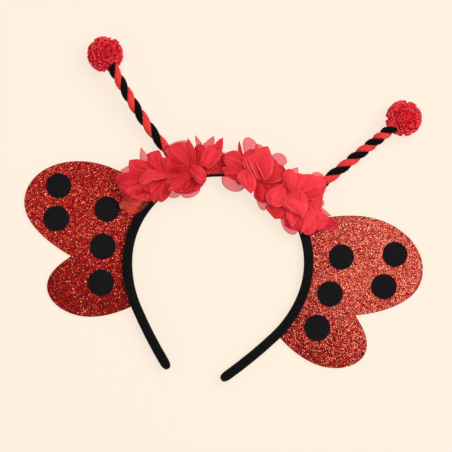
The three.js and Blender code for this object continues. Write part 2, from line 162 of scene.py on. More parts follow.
def apply_modifier(piece: bpy.types.Object, kind: str, **values: object) -> None:
    """Add a modifier, set it and apply it.

    Args:
        piece: the object to change.
        kind: the modifier's type.
        values: its settings.
    """
    select_only(piece)
    modifier = piece.modifiers.new(kind.lower(), kind)
    for name, value in values.items():
        setattr(modifier, name, value)
    bpy.ops.object.modifier_apply(modifier=modifier.name)


def ease_rims(piece: bpy.types.Object, width: float) -> None:
    """Round a cut sheet's sharp rims.

    Args:
        piece: the sheet.
        width: how far, in millimetres.
    """
    apply_modifier(piece, "BEVEL", width=width * MM, segments=2, limit_method="ANGLE", angle_limit=SHARP)


def join(piece: bpy.types.Object, other: bpy.types.Object) -> None:
    """Join a second mesh to a piece.

    Args:
        piece: the piece that stays.
        other: the mesh that becomes part of it.
    """
    select_only(piece)
    other.select_set(True)
    bpy.ops.object.join()


def named(name: str) -> bpy.types.Object:
    """Name the active object, put its place into its mesh and return it.

    Args:
        name: the piece's name.

    Returns:
        The active object, at the origin, unturned and unscaled.
    """
    piece = bpy.context.active_object
    piece.name = piece.data.name = name
    select_only(piece)
    bpy.ops.object.transform_apply(location=True, rotation=True, scale=True)
    return piece


def from_arrays(name: str, points: np.ndarray, faces: np.ndarray, smooth: bool = True,
                uv: np.ndarray | None = None) -> bpy.types.Object:
    """Make one joined mesh object from arrays.

    Args:
        name: the piece's name.
        points: points in metres, one row each.
        faces: rows of point numbers, all with as many corners.
        smooth: whether faces are shaded smooth.
        uv: flat cloth coordinates of each point, in metres.

    Returns:
        The new object.
    """
    mesh = bpy.data.meshes.new(name)
    mesh.from_pydata(points.tolist(), [], faces.tolist())
    mesh.polygons.foreach_set("use_smooth", np.full(len(mesh.polygons), smooth))
    if uv is not None:
        corners = np.empty(len(mesh.loops), dtype=np.int32)
        mesh.loops.foreach_get("vertex_index", corners)
        mesh.uv_layers.new(name="cloth").data.foreach_set("uv", uv[corners].ravel())
    mesh.update()
    piece = bpy.data.objects.new(name, mesh)
    bpy.context.scene.collection.objects.link(piece)
    return piece


def add_tone(piece: bpy.types.Object, name: str, values: np.ndarray) -> None:
    """Store one number for each point of a piece, for its finish to read.

    Args:
        piece: the object.
        name: the attribute's name.
        values: one number for each point.
    """
    layer = piece.data.attributes.new(name, "FLOAT", "POINT")
    layer.data.foreach_set("value", values.astype(np.float32))


def grid_faces(rows: int, columns: int, first: int = 0) -> np.ndarray:
    """Number the quads of a grid of points stored row by row.

    Args:
        rows, columns: how many points each way.
        first: the number of the grid's first point.

    Returns:
        One row of four point numbers for each quad.
    """
    at = first + np.arange(rows * columns).reshape(rows, columns)
    return np.stack([at[:-1, :-1], at[1:, :-1], at[1:, 1:], at[:-1, 1:]], axis=-1).reshape(-1, 4)


def inside(points: np.ndarray, edge: np.ndarray) -> np.ndarray:
    """Tell which points lie inside a closed outline.

    Args:
        points: flat places, one row each.
        edge: the outline's corners in order.

    Returns:
        True for each point inside.
    """
    within = np.zeros(len(points), bool)
    for a, b in zip(edge, np.roll(edge, -1, 0)):
        if a[1] != b[1]:
            crosses = (a[1] > points[:, 1]) != (b[1] > points[:, 1])
            share = (points[:, 1] - a[1]) / (b[1] - a[1])
            within ^= crosses & (points[:, 0] < a[0] + share * (b[0] - a[0]))
    return within


class Board:
    """A node tree with short calls for adding and joining nodes."""

    # A Mix node has sockets for every kind of value; these are its share and its colours
    COLOUR_INPUTS = (0, 6, 7)
    COLOUR_OUTPUT = 2

    def __init__(self, tree: bpy.types.NodeTree) -> None:
        """Take a node tree to work on."""
        self.tree = tree

    def add(self, kind: str, inputs: dict[str, object] | None = None,
            **settings: object) -> bpy.types.Node:
        """Add a node.

        Args:
            kind: the node's type, without the ShaderNode prefix.
            inputs: values, or output sockets to join, by input name.
            settings: the node's own settings.

        Returns:
            The new node.
        """
        node = self.tree.nodes.new(kind if kind.startswith("Node") else "ShaderNode" + kind)
        for name, value in settings.items():
            setattr(node, name, value)
        for name, value in (inputs or {}).items():
            self.put(node.inputs[name], value)
        return node

    def put(self, socket: bpy.types.NodeSocket, value: object) -> None:
        """Join an output to a socket, or set the socket's own value."""
        if isinstance(value, bpy.types.NodeSocket):
            self.tree.links.new(value, socket)
        else:
            socket.default_value = value

    def blend(self, share: object, low: object, high: object) -> bpy.types.NodeSocket:
        """Mix two colours.

        Args:
            share: how much of the second colour.
            low, high: the two colours, as values or sockets.

        Returns:
            The mixed colour's socket.
        """
        node = self.tree.nodes.new("ShaderNodeMix")
        node.data_type = "RGBA"
        for index, value in zip(self.COLOUR_INPUTS, (share, low, high)):
            if isinstance(value, tuple) and len(value) == 3:
                value = (*value, 1.0)
            self.put(node.inputs[index], value)
        return node.outputs[self.COLOUR_OUTPUT]

    def maths(self, operation: str, first: object, second: object = 0.0) -> bpy.types.NodeSocket:
        """Work out one number from two.

        Args:
            operation: the Math node's operation.
            first, second: values or sockets.

        Returns:
            The result's socket.
        """
        node = self.tree.nodes.new("ShaderNodeMath")
        node.operation = operation
        self.put(node.inputs[0], first)
        self.put(node.inputs[1], second)
        return node.outputs[0]


class Effects:
    """The surface effects that several finishes share, each a node group built once."""

    FIBRES = "loose_fibres"
    WEAVE = "woven_threads"

    @staticmethod
    def begin(name: str, scales: Sequence[str],
              results: Sequence[str]) -> tuple[Board, bpy.types.Node, bpy.types.Node]:
        """Start a node group that turns a place and some scales into numbers.

        Args:
            name: the group's name.
            scales: the names of its number inputs.
            results: the names of its number outputs.

        Returns:
            The group's board, its input node and its output node.
        """
        tree = bpy.data.node_groups.new(name, "ShaderNodeTree")
        tree.interface.new_socket("Place", in_out="INPUT", socket_type="NodeSocketVector")
        for scale in scales:
            tree.interface.new_socket(scale, in_out="INPUT", socket_type="NodeSocketFloat")
        for result in results:
            tree.interface.new_socket(result, in_out="OUTPUT", socket_type="NodeSocketFloat")
        board = Board(tree)
        return board, board.add("NodeGroupInput"), board.add("NodeGroupOutput")

    @classmethod
    def fibres(cls) -> bpy.types.NodeTree:
        """Short matted fibres over a mottled ground.

        Returns:
            A group that turns a position into a fibre mask, a mottle mask and a height.
        """
        if cls.FIBRES in bpy.data.node_groups:
            return bpy.data.node_groups[cls.FIBRES]
        board, given, out = cls.begin(cls.FIBRES, ("Fibre Scale", "Mottle Scale"),
                                      ("Fibre", "Mottle", "Height"))
        place = given.outputs["Place"]
        strand = board.add("TexNoise", {"Vector": place, "Scale": given.outputs["Fibre Scale"],
                                        "Detail": 4.0, "Roughness": 0.65, "Distortion": 1.6})
        ground = board.add("TexNoise", {"Vector": place, "Scale": given.outputs["Mottle Scale"],
                                        "Detail": 3.0})
        ridge = board.add("MapRange", {"Value": strand.outputs["Fac"],
                                       "From Min": 0.42, "From Max": 0.66})
        cloud = board.add("MapRange", {"Value": ground.outputs["Fac"],
                                       "From Min": 0.35, "From Max": 0.65})
        board.put(out.inputs["Fibre"], ridge.outputs["Result"])
        board.put(out.inputs["Mottle"], cloud.outputs["Result"])
        swell = board.maths("MULTIPLY", ground.outputs["Fac"], 0.4)
        board.put(out.inputs["Height"], board.maths("ADD", strand.outputs["Fac"], swell))
        return board.tree

    @classmethod
    def weave(cls) -> bpy.types.NodeTree:
        """Fine threads crossing over and under each other.

        Returns:
            A group that turns flat cloth coordinates into a cover mask and a height.
        """
        if cls.WEAVE in bpy.data.node_groups:
            return bpy.data.node_groups[cls.WEAVE]
        board, given, out = cls.begin(cls.WEAVE, ("Threads",), ("Cover", "Height"))
        parts = board.add("SeparateXYZ", {"Vector": given.outputs["Place"]})
        waves = []
        for axis in ("X", "Y"):
            turn = board.maths("MULTIPLY", parts.outputs[axis],
                               board.maths("MULTIPLY", given.outputs["Threads"], math.tau))
            raised = board.maths("ADD", board.maths("SINE", turn), 1.0)
            waves.append(board.maths("MULTIPLY", raised, 0.5))
        board.put(out.inputs["Cover"], board.maths("MAXIMUM", *waves))
        board.put(out.inputs["Height"], board.maths("ADD", *waves))
        return board.tree


@dataclass(frozen=True)
class Finish:
    """What every finish has: a name and the sockets of its shader that are plain all over."""

    name: str
    roughness: float = 0.9
    sheen: float = 0.0
    sheen_roughness: float = 0.4
    sheen_tint: Colour = (1.0, 1.0, 1.0)
    specular: float = 0.3

    def start(self) -> tuple[bpy.types.Material, Board, bpy.types.Node]:
        """Open a material with a Principled shader.

        Returns:
            The material, its node board and the shader node.
        """
        material = bpy.data.materials.new(self.name)
        material.use_nodes = True
        board = Board(material.node_tree)
        shader = material.node_tree.nodes["Principled BSDF"]
        for name, value in {
                "Roughness": self.roughness, "Specular IOR Level": self.specular,
                "Sheen Weight": self.sheen, "Sheen Roughness": self.sheen_roughness,
                "Sheen Tint": (*self.sheen_tint, 1.0)}.items():
            shader.inputs[name].default_value = value
        return material, board, shader


@dataclass(frozen=True)
class PileFinish(Finish):
    """Velvet, felt or chenille: matted fibres lighter than the ground that they stand on."""

    ground: Colour = (0.006, 0.006, 0.007)
    mottle: Colour = (0.010, 0.010, 0.011)
    fibre: Colour = (0.030, 0.030, 0.034)
    fibre_scale: float = 2600.0
    mottle_scale: float = 160.0
    depth: float = 0.0004

    def material(self) -> bpy.types.Material:
        """Build the material.

        Returns:
            A cloth pile on the piece's own coordinates.
        """
        material, board, shader = self.start()
        pile = board.add("Group", node_tree=Effects.fibres())
        for name, value in (("Place", board.add("TexCoord").outputs["Object"]),
                            ("Fibre Scale", self.fibre_scale), ("Mottle Scale", self.mottle_scale)):
            board.put(pile.inputs[name], value)
        ground = board.blend(pile.outputs["Mottle"], self.ground, self.mottle)
        board.put(shader.inputs["Base Color"], board.blend(pile.outputs["Fibre"], ground, self.fibre))
        bump = board.add("Bump", {"Height": pile.outputs["Height"], "Distance": self.depth,
                                  "Strength": 0.7})
        board.put(shader.inputs["Normal"], bump.outputs["Normal"])
        return material


@dataclass(frozen=True)
class GlitterFinish(Finish):
    """Glitter grains coloured by each grain's own tone; the palest ones glow with a painted glint."""

    tones: tuple[tuple[float, Colour], ...] = ((0.0, (0.2, 0.0, 0.0)), (1.0, (1.0, 0.5, 0.4)))
    metallic: float = 0.4
    spark: Colour = (0.0, 0.0, 0.0)
    spark_from: float = 0.86
    polish: float = 0.6

    def material(self) -> bpy.types.Material:
        """Build the material.

        Returns:
            A shiny grain coloured along the row of tones.
        """
        material, board, shader = self.start()
        tone = board.add("Attribute", attribute_name="tone").outputs["Fac"]
        ramp = board.add("ValToRGB", {"Fac": tone})
        stops = ramp.color_ramp.elements
        while len(stops) < len(self.tones):
            stops.new(0.5)
        for stop, (place, colour) in zip(stops, self.tones):
            stop.position, stop.color = place, (*colour, 1.0)
        board.put(shader.inputs["Base Color"], ramp.outputs["Color"])
        shader.inputs["Metallic"].default_value = self.metallic
        # Painted glint: the palest grains glow in the glint colour
        glint_share = board.add("MapRange", {"Value": tone, "From Min": self.spark_from}).outputs["Result"]
        board.put(shader.inputs["Emission Color"], board.blend(glint_share, (0.0, 0.0, 0.0), self.spark))
        shader.inputs["Emission Strength"].default_value = 1.0
        gloss = board.add("MapRange", {"Value": tone, "To Min": self.roughness,
                                       "To Max": self.roughness * self.polish})
        board.put(shader.inputs["Roughness"], gloss.outputs["Result"])
        return material


@dataclass(frozen=True)
class GauzeFinish(Finish):
    """Thin woven cloth that light passes through, with a paler cut edge, partly a painted highlight, and a
    veil of one ply.
    """

    colour: Colour = (0.8, 0.03, 0.05)
    deep: Colour = (0.5, 0.01, 0.02)
    edge: Colour = (0.95, 0.12, 0.15)
    veil: Colour = (0.7, 0.01, 0.05)
    cover: tuple[float, float] = (0.6, 0.8)
    second_cover: float = 0.3
    threads: float = 1000.0
    thread_depth: float = 0.00006
    cloud_scale: float = 130.0
    cloud_share: float = 0.16
    thread_share: float = 0.12
    tone_share: float = 0.75
    glow: float = 0.0

    def material(self) -> bpy.types.Material:
        """Build the material.

        Returns:
            A woven sheer cloth on the piece's flat cloth coordinates.
        """
        material, board, shader = self.start()
        coordinates = board.add("TexCoord")
        weave = board.add("Group", node_tree=Effects.weave())
        board.put(weave.inputs["Place"], coordinates.outputs["UV"])
        weave.inputs["Threads"].default_value = self.threads
        cloud = board.add("TexNoise", {"Vector": coordinates.outputs["Object"], "Scale": self.cloud_scale,
                                       "Detail": 3.0})
        share = board.add("MapRange", {"Value": cloud.outputs["Fac"], "From Min": 0.3, "From Max": 0.7})
        tone = board.add("Attribute", attribute_name="tone").outputs["Fac"]
        grain = board.maths("ADD", board.maths("MULTIPLY", share.outputs["Result"], self.cloud_share),
                            board.maths("MULTIPLY", weave.outputs["Cover"], self.thread_share))
        # The tone runs the colour from the deep, shaded end to the lit one, so it carries painted light and
        # shade as well as the cloth's own depth of colour
        mixed = board.maths("ADD", grain, board.maths("MULTIPLY", tone, self.tone_share))
        body = board.blend(mixed, self.deep, self.colour)
        if self.cover[1] < 1:
            ply = board.add("Attribute", attribute_name="ply").outputs["Fac"]
            body = board.blend(ply, self.veil, body)
            alpha = board.add("MapRange", {"Value": weave.outputs["Cover"], "To Min": self.cover[0],
                                           "To Max": self.cover[1]})
            cover = board.maths("ADD", alpha.outputs["Result"],
                                board.maths("MULTIPLY", ply, self.second_cover))
            board.put(shader.inputs["Alpha"], cover)
        # A paler edge: partly the cut edge's own look, partly a painted highlight where the edge turns up
        # to the light
        edge = board.add("Attribute", attribute_name="edge").outputs["Fac"]
        cloth = board.blend(edge, body, self.edge)
        board.put(shader.inputs["Base Color"], cloth)
        # Painted light: the glow adds the cloth's own colour as light, standing in for light passing
        # through the gauze and lifting its shadows
        board.put(shader.inputs["Emission Color"], cloth)
        shader.inputs["Emission Strength"].default_value = self.glow
        bump = board.add("Bump", {"Height": weave.outputs["Height"], "Distance": self.thread_depth,
                                  "Strength": 0.4})
        board.put(shader.inputs["Normal"], bump.outputs["Normal"])
        return material


@dataclass(frozen=True)
class FloorFinish(Finish):
    """Matt cream paper, lit a little from below so that shadows on it stay faint."""

    paper: Colour = (0.17, 0.149, 0.127)
    cloud: Colour = (0.18, 0.158, 0.135)
    glow: Colour = (1.0, 0.872, 0.745)
    strength: float = 0.83

    def material(self) -> bpy.types.Material:
        """Build the material.

        Returns:
            A plain pale surface with a hardly visible cloudiness.
        """
        material, board, shader = self.start()
        place = board.add("TexCoord").outputs["Object"]
        cloud = board.add("TexNoise", {"Vector": place, "Scale": 6.0, "Detail": 2.0})
        board.put(shader.inputs["Base Color"], board.blend(cloud.outputs["Fac"], self.paper, self.cloud))
        shader.inputs["Emission Color"].default_value = (*self.glow, 1.0)
        shader.inputs["Emission Strength"].default_value = self.strength
        return material


class SubAssembly:
    """Pieces that belong together and are dressed as they are finished."""

    def keep(self, piece: bpy.types.Object, material: bpy.types.Material, slot: str,
             *nodes: str) -> None:
        """Dress a finished piece and enter it in the frame.

        Args:
            piece: the finished object.
            material: its finish.
            slot: the record's material slot; not used.
            nodes: the solids that it stands for.
        """
        piece.data.materials.clear()
        piece.data.materials.append(material)
        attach(piece, "root")
        if nodes:
            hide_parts(*nodes)
        log.info("%s: %d faces", piece.name, len(piece.data.polygons))


@dataclass(frozen=True)
class Arc:
    """One part of half the hoop: its radius in millimetres and its sweep in degrees."""

    radius: float
    sweep: float


HOOP_ARCS = (Arc(65.0, 100.0), Arc(81.0, 25.0), Arc(330.0, 8.6))


def hoop_at(distance: float) -> tuple[float, float, float]:
    """Follow half the hoop's centre line from the top of the crown.

    Args:
        distance: millimetres along the centre line.

    Returns:
        The point's x and y from the hoop's centre, in millimetres, and its heading in radians.
    """
    x, y, heading = 0.0, HOOP_ARCS[0].radius, 0.0
    for arc in HOOP_ARCS:
        turn = min(distance / arc.radius, math.radians(arc.sweep))
        x += arc.radius * (math.sin(heading + turn) - math.sin(heading))
        y += arc.radius * (math.cos(heading + turn) - math.cos(heading))
        heading += turn
        distance -= arc.radius * turn
        if distance <= NEAR_ZERO:
            break
    return x, y, heading


@dataclass
class Hoop(SubAssembly):
    """The springy band in its black velvet sleeve, open at two rounded tips."""

    width: float = 7.0
    depth: float = 7.5
    middle: float = 6.65
    squareness: float = 3.0
    sides: int = 20
    tip: float = 6.0
    tip_steps: int = 6
    tip_turn: float = 86.0
    tip_fullness: float = 0.7
    arc_step: float = 2.5
    least_steps: int = 4
    weld: float = 1e-6
    seam: float = 1e-5

    def build(self) -> None:
        """Spin the section along the hoop's arcs, round the tip and mirror the half."""
        start = on_hoop(0, HOOP_ARCS[0].radius, self.middle)
        deselect()
        bpy.ops.mesh.primitive_circle_add(vertices=self.sides, radius=1.0, location=start,
                                          rotation=(0, math.radians(90), 0))
        piece = named("velvet_hoop")
        with editing(piece) as mesh:
            for point in mesh.verts:
                offset = point.co - start
                turn = math.atan2(offset.z, offset.y)
                stretch = [math.copysign(abs(f(turn)) ** (2 / self.squareness), f(turn))
                           for f in (math.cos, math.sin)]
                section = Vector((0, stretch[0] * self.width / 2, stretch[1] * self.depth / 2))
                point.co = start + section * MM
            self.sweep()
        with editing(piece):
            bpy.ops.mesh.remove_doubles(threshold=self.weld)
        apply_modifier(piece, "MIRROR", merge_threshold=self.seam)
        with editing(piece):
            bpy.ops.mesh.normals_make_consistent(inside=False)
        select_only(piece)
        bpy.ops.object.shade_smooth()
        self.keep(piece, VELVET.material(), "velvet_black", "hoop")

    def sweep(self) -> None:
        """Spin the selected section along each arc and draw its end into a rounded tip."""
        along = 0.0
        for arc in HOOP_ARCS:
            x, y, heading = hoop_at(along)
            centre = on_hoop(x - arc.radius * math.sin(heading), y - arc.radius * math.cos(heading),
                             self.middle)
            turn = math.radians(arc.sweep) - (self.tip / arc.radius if arc is HOOP_ARCS[-1] else 0.0)
            steps = max(self.least_steps, round(math.degrees(turn) / self.arc_step))
            bpy.ops.mesh.spin(steps=steps, angle=turn, center=centre, axis=(0, 0, 1))
            along += arc.radius * turn
        x, y, heading = hoop_at(along)
        ahead = Vector((math.cos(heading), -math.sin(heading), 0))
        place, size, run = on_hoop(x, y, self.middle), 1.0, 0.0
        for step in range(1, self.tip_steps + 1):
            turn = math.radians(self.tip_turn) * step / self.tip_steps
            new_size, new_run = math.cos(turn) ** self.tip_fullness, self.tip * math.sin(turn)
            move = ahead * (new_run - run) * MM
            bpy.ops.mesh.extrude_region_move(TRANSFORM_OT_translate={"value": move})
            place = place + move
            bpy.ops.transform.resize(value=(new_size / size,) * 3, center_override=place)
            size, run = new_size, new_run
        bpy.ops.mesh.edge_face_add()


@dataclass(frozen=True)
class Spot:
    """One felt spot: its place on the wing and its diameter, in millimetres."""

    x: float
    y: float
    across: float


@dataclass(frozen=True)
class Shade:
    """Painted light and shade on the glitter: how its tone changes over a wing, between two distances out
    or up, in millimetres.
    """

    upwards: bool
    begin: float
    finish: float
    gain: float


@dataclass
class Wing(SubAssembly):
    """A lobed felt wing with a glitter front and five felt spots."""

    side: Side = Side.RIGHT
    roots: tuple[float, float] = (59.0, 146.5)
    curves: tuple[tuple[tuple[float, float], ...], ...] = (
        ((66, 46.5), (84, 54), (101, 54)),
        ((126, 54), (146.2, 39), (146.2, 19)),
        ((146.2, 0), (123, -11.5), (104.8, -17.4)),
        ((112, -25), (117.5, -31.5), (117.5, -39.5)),
        ((117.5, -50.5), (105, -58.3), (90.5, -58.3)),
        ((77, -58.3), (62, -50.5)),
    )
    spots: tuple[Spot, ...] = (
        Spot(123.5, 31.6, 17.9), Spot(120.4, 7.3, 18.3), Spot(86.0, 21.9, 18.2),
        Spot(83.5, -5.8, 18.5), Spot(79.5, -31.6, 18.8),
    )
    felt: tuple[float, float] = (0.0, 1.2)
    glitter: tuple[float, float] = (1.4, 2.6)
    spot: tuple[float, float] = (2.8, 3.8)
    rim: float = 0.25
    felt_edge: float = 0.3
    glitter_edge: float = 0.2
    droop: float = 0.0
    curve_steps: int = 24
    root_steps: int = 36
    grain: float = 0.76
    grain_row: float = 0.87
    grain_tilt: float = 16.0
    grain_jitter: float = 0.3
    grain_size: tuple[float, float] = (0.42, 0.62)
    grain_margin: float = 0.15
    grain_lift: float = 0.12
    grain_seed: int = 41
    spot_sides: int = 56
    spot_edge: float = 0.3
    spot_sharp: float = 50.0
    spot_swell: tuple[tuple[float, float], ...] = ((0.35, 0.0), (1.6, 0.12))
    shades: tuple[Shade, ...] = ()

    def let_down(self, level: float) -> float:
        """A level on the wing, let down by its droop above the hoop's centre."""
        return level * (1 - self.droop / WING_TOP) if level > 0 else level

    def outline(self, inset: float = 0.0) -> np.ndarray:
        """Walk round the wing.

        Args:
            inset: how far inside the cut edge, in millimetres.

        Returns:
            Points in millimetres from the hoop's centre, counter-clockwise.
        """
        upper, lower = (hoop_at(d)[:2] for d in self.roots)
        walk, at = [], np.array(upper)
        for curve in self.curves:
            leave, arrive, end = (np.array((x, self.let_down(y))) for x, y in (*curve, lower)[:3])
            for t in np.arange(self.curve_steps) / self.curve_steps:
                walk.append((1 - t) ** 3 * at + 3 * t * (1 - t) ** 2 * leave
                            + 3 * t * t * (1 - t) * arrive + t ** 3 * end)
            at = end
        for share in np.arange(self.root_steps) / self.root_steps:
            walk.append(np.array(hoop_at(self.roots[1] + (self.roots[0] - self.roots[1]) * share)[:2]))
        points = np.array(walk)
        points[:, 0] *= self.side.value
        if self.side is Side.RIGHT:
            points = points[::-1]
        if inset:
            along = np.roll(points, -1, 0) - np.roll(points, 1, 0)
            inward = np.stack([-along[:, 1], along[:, 0]], axis=1)
            points = points + inset * unit(inward)
        return points

    def area(self, inset: float = 0.0) -> float:
        """Measure the flat sheet.

        Args:
            inset: how far inside the cut edge, in millimetres.

        Returns:
            Its area in square metres.
        """
        x, y = self.outline(inset).T
        return abs(float(np.sum(x * np.roll(y, -1) - np.roll(x, -1) * y))) / 2 * MM * MM

    def sheet(self, name: str, levels: tuple[float, float], inset: float,
              edge: float) -> bpy.types.Object:
        """Cut a flat sheet: a ring drawn to the outline, filled, raised and its rims eased.

        Args:
            name: the piece's name.
            levels: the heights of its two faces, in millimetres.
            inset: how far inside the wing's edge it is cut.
            edge: how far the rim is rounded.

        Returns:
            The sheet.
        """
        walk = self.outline(inset)
        deselect()
        bpy.ops.mesh.primitive_circle_add(vertices=len(walk), radius=1.0, fill_type="NGON")
        piece = named(name)
        with editing(piece, "FACE") as mesh:
            order = sorted(mesh.verts, key=lambda point: math.atan2(point.co.y, point.co.x))
            for point, (x, y) in zip(order, walk):
                point.co = on_hoop(x, y, levels[0])
            bpy.ops.mesh.extrude_region_move(
                TRANSFORM_OT_translate={"value": (0, 0, (levels[1] - levels[0]) * MM)})
            bpy.ops.mesh.select_all(action="SELECT")
            bpy.ops.mesh.normals_make_consistent(inside=False)
        ease_rims(piece, edge)
        apply_modifier(piece, "TRIANGULATE", min_vertices=5)
        return piece

    def grains(self) -> bpy.types.Object:
        """Scatter the glitter: one small tilted plate for each grain, with its own random tone, shifted by
        the wing's painted light and shade.

        Returns:
            All the grains of the wing as one mesh.
        """
        rng = np.random.default_rng(self.grain_seed + self.side.value)
        edge = self.outline(self.rim + self.grain_margin)
        low, high = edge.min(0), edge.max(0)
        step = self.grain
        xs, ys = np.meshgrid(np.arange(low[0], high[0], step),
                             np.arange(low[1], high[1], step * self.grain_row))
        xs[1::2] += step / 2
        spread = np.stack([xs.ravel(), ys.ravel()], axis=1)
        spread += rng.uniform(-self.grain_jitter, self.grain_jitter, spread.shape) * step
        spread = spread[inside(spread, edge)]
        count = len(spread)
        size = rng.uniform(*self.grain_size, count) * step
        turn = rng.uniform(0, math.tau, count)
        tilt = np.radians(self.grain_tilt) * np.sqrt(rng.uniform(0, 1, count))
        lean = rng.uniform(0, math.tau, count)
        corners = []
        for quarter in range(4):
            angle = turn + quarter * math.pi / 2
            x, y = size * np.cos(angle), size * np.sin(angle)
            z = np.tan(tilt) * (x * np.cos(lean) + y * np.sin(lean))
            z += self.glitter[1] + self.grain_lift
            corners.append(np.stack([spread[:, 0] + x, spread[:, 1] + y, z], axis=1))
        points = np.stack(corners, axis=1).reshape(-1, 3) * MM + np.array(HOOP_CENTRE)
        piece = from_arrays(f"glitter_grains_{self.side.word}", points,
                            np.arange(count * 4).reshape(-1, 4), smooth=False)
        # Painted light and shade: each shade raises or lowers the grains' tones across the wing
        lift = np.zeros(count)
        for painted_shading in self.shades:
            reach = spread[:, 1] if painted_shading.upwards else np.abs(spread[:, 0])
            lift += painted_shading.gain * np.clip((reach - painted_shading.begin) / (painted_shading.finish - painted_shading.begin), 0, 1)
        add_tone(piece, "tone", np.repeat(rng.uniform(0, 1, count) ** np.exp(-lift), 4))
        return piece

    def build(self) -> None:
        """Make the felt back, the glitter front, its grains and the spots."""
        word = self.side.word
        felt, bed = FELT.material(), GLITTER_BED.material()
        back = self.sheet(f"felt_back_{word}", self.felt, 0.0, self.felt_edge)
        self.keep(back, felt, "felt_black", f"wing_{word}_backing")
        front = self.sheet(f"glitter_front_{word}", self.glitter, self.rim, self.glitter_edge)
        self.keep(front, bed, "glitter_red", f"wing_{word}_glitter")
        self.keep(self.grains(), GLITTER[self.side].material(), "glitter_red")
        for piece, inset in ((back, 0.0), (front, self.rim)):
            self.area(inset)
        for number, spot in enumerate(self.spots, 1):
            self.keep(self.felt_spot(number, spot), felt, "felt_black", f"wing_{word}_dot_{number}")

    def felt_spot(self, number: int, spot: Spot) -> bpy.types.Object:
        """Cut one felt spot: a disc with an eased rim and a slightly soft face.

        Args:
            number: its number on the wing.
            spot: its place and size.

        Returns:
            The spot.
        """
        low, high = self.spot
        deselect()
        bpy.ops.mesh.primitive_cylinder_add(
            vertices=self.spot_sides, radius=spot.across / 2 * MM, depth=(high - low) * MM,
            location=on_hoop(spot.x * self.side.value, self.let_down(spot.y), (low + high) / 2))
        piece = named(f"felt_spot_{self.side.word}_{number}")
        with editing(piece, "FACE") as mesh:
            for face in mesh.faces:
                face.select_set(face.normal.z > 0.5)
            for inset, rise in self.spot_swell:
                bpy.ops.mesh.inset(thickness=inset * MM, depth=rise * MM)
        ease_rims(piece, self.spot_edge)
        select_only(piece)
        bpy.ops.object.shade_smooth_by_angle(angle=math.radians(self.spot_sharp))
        return piece


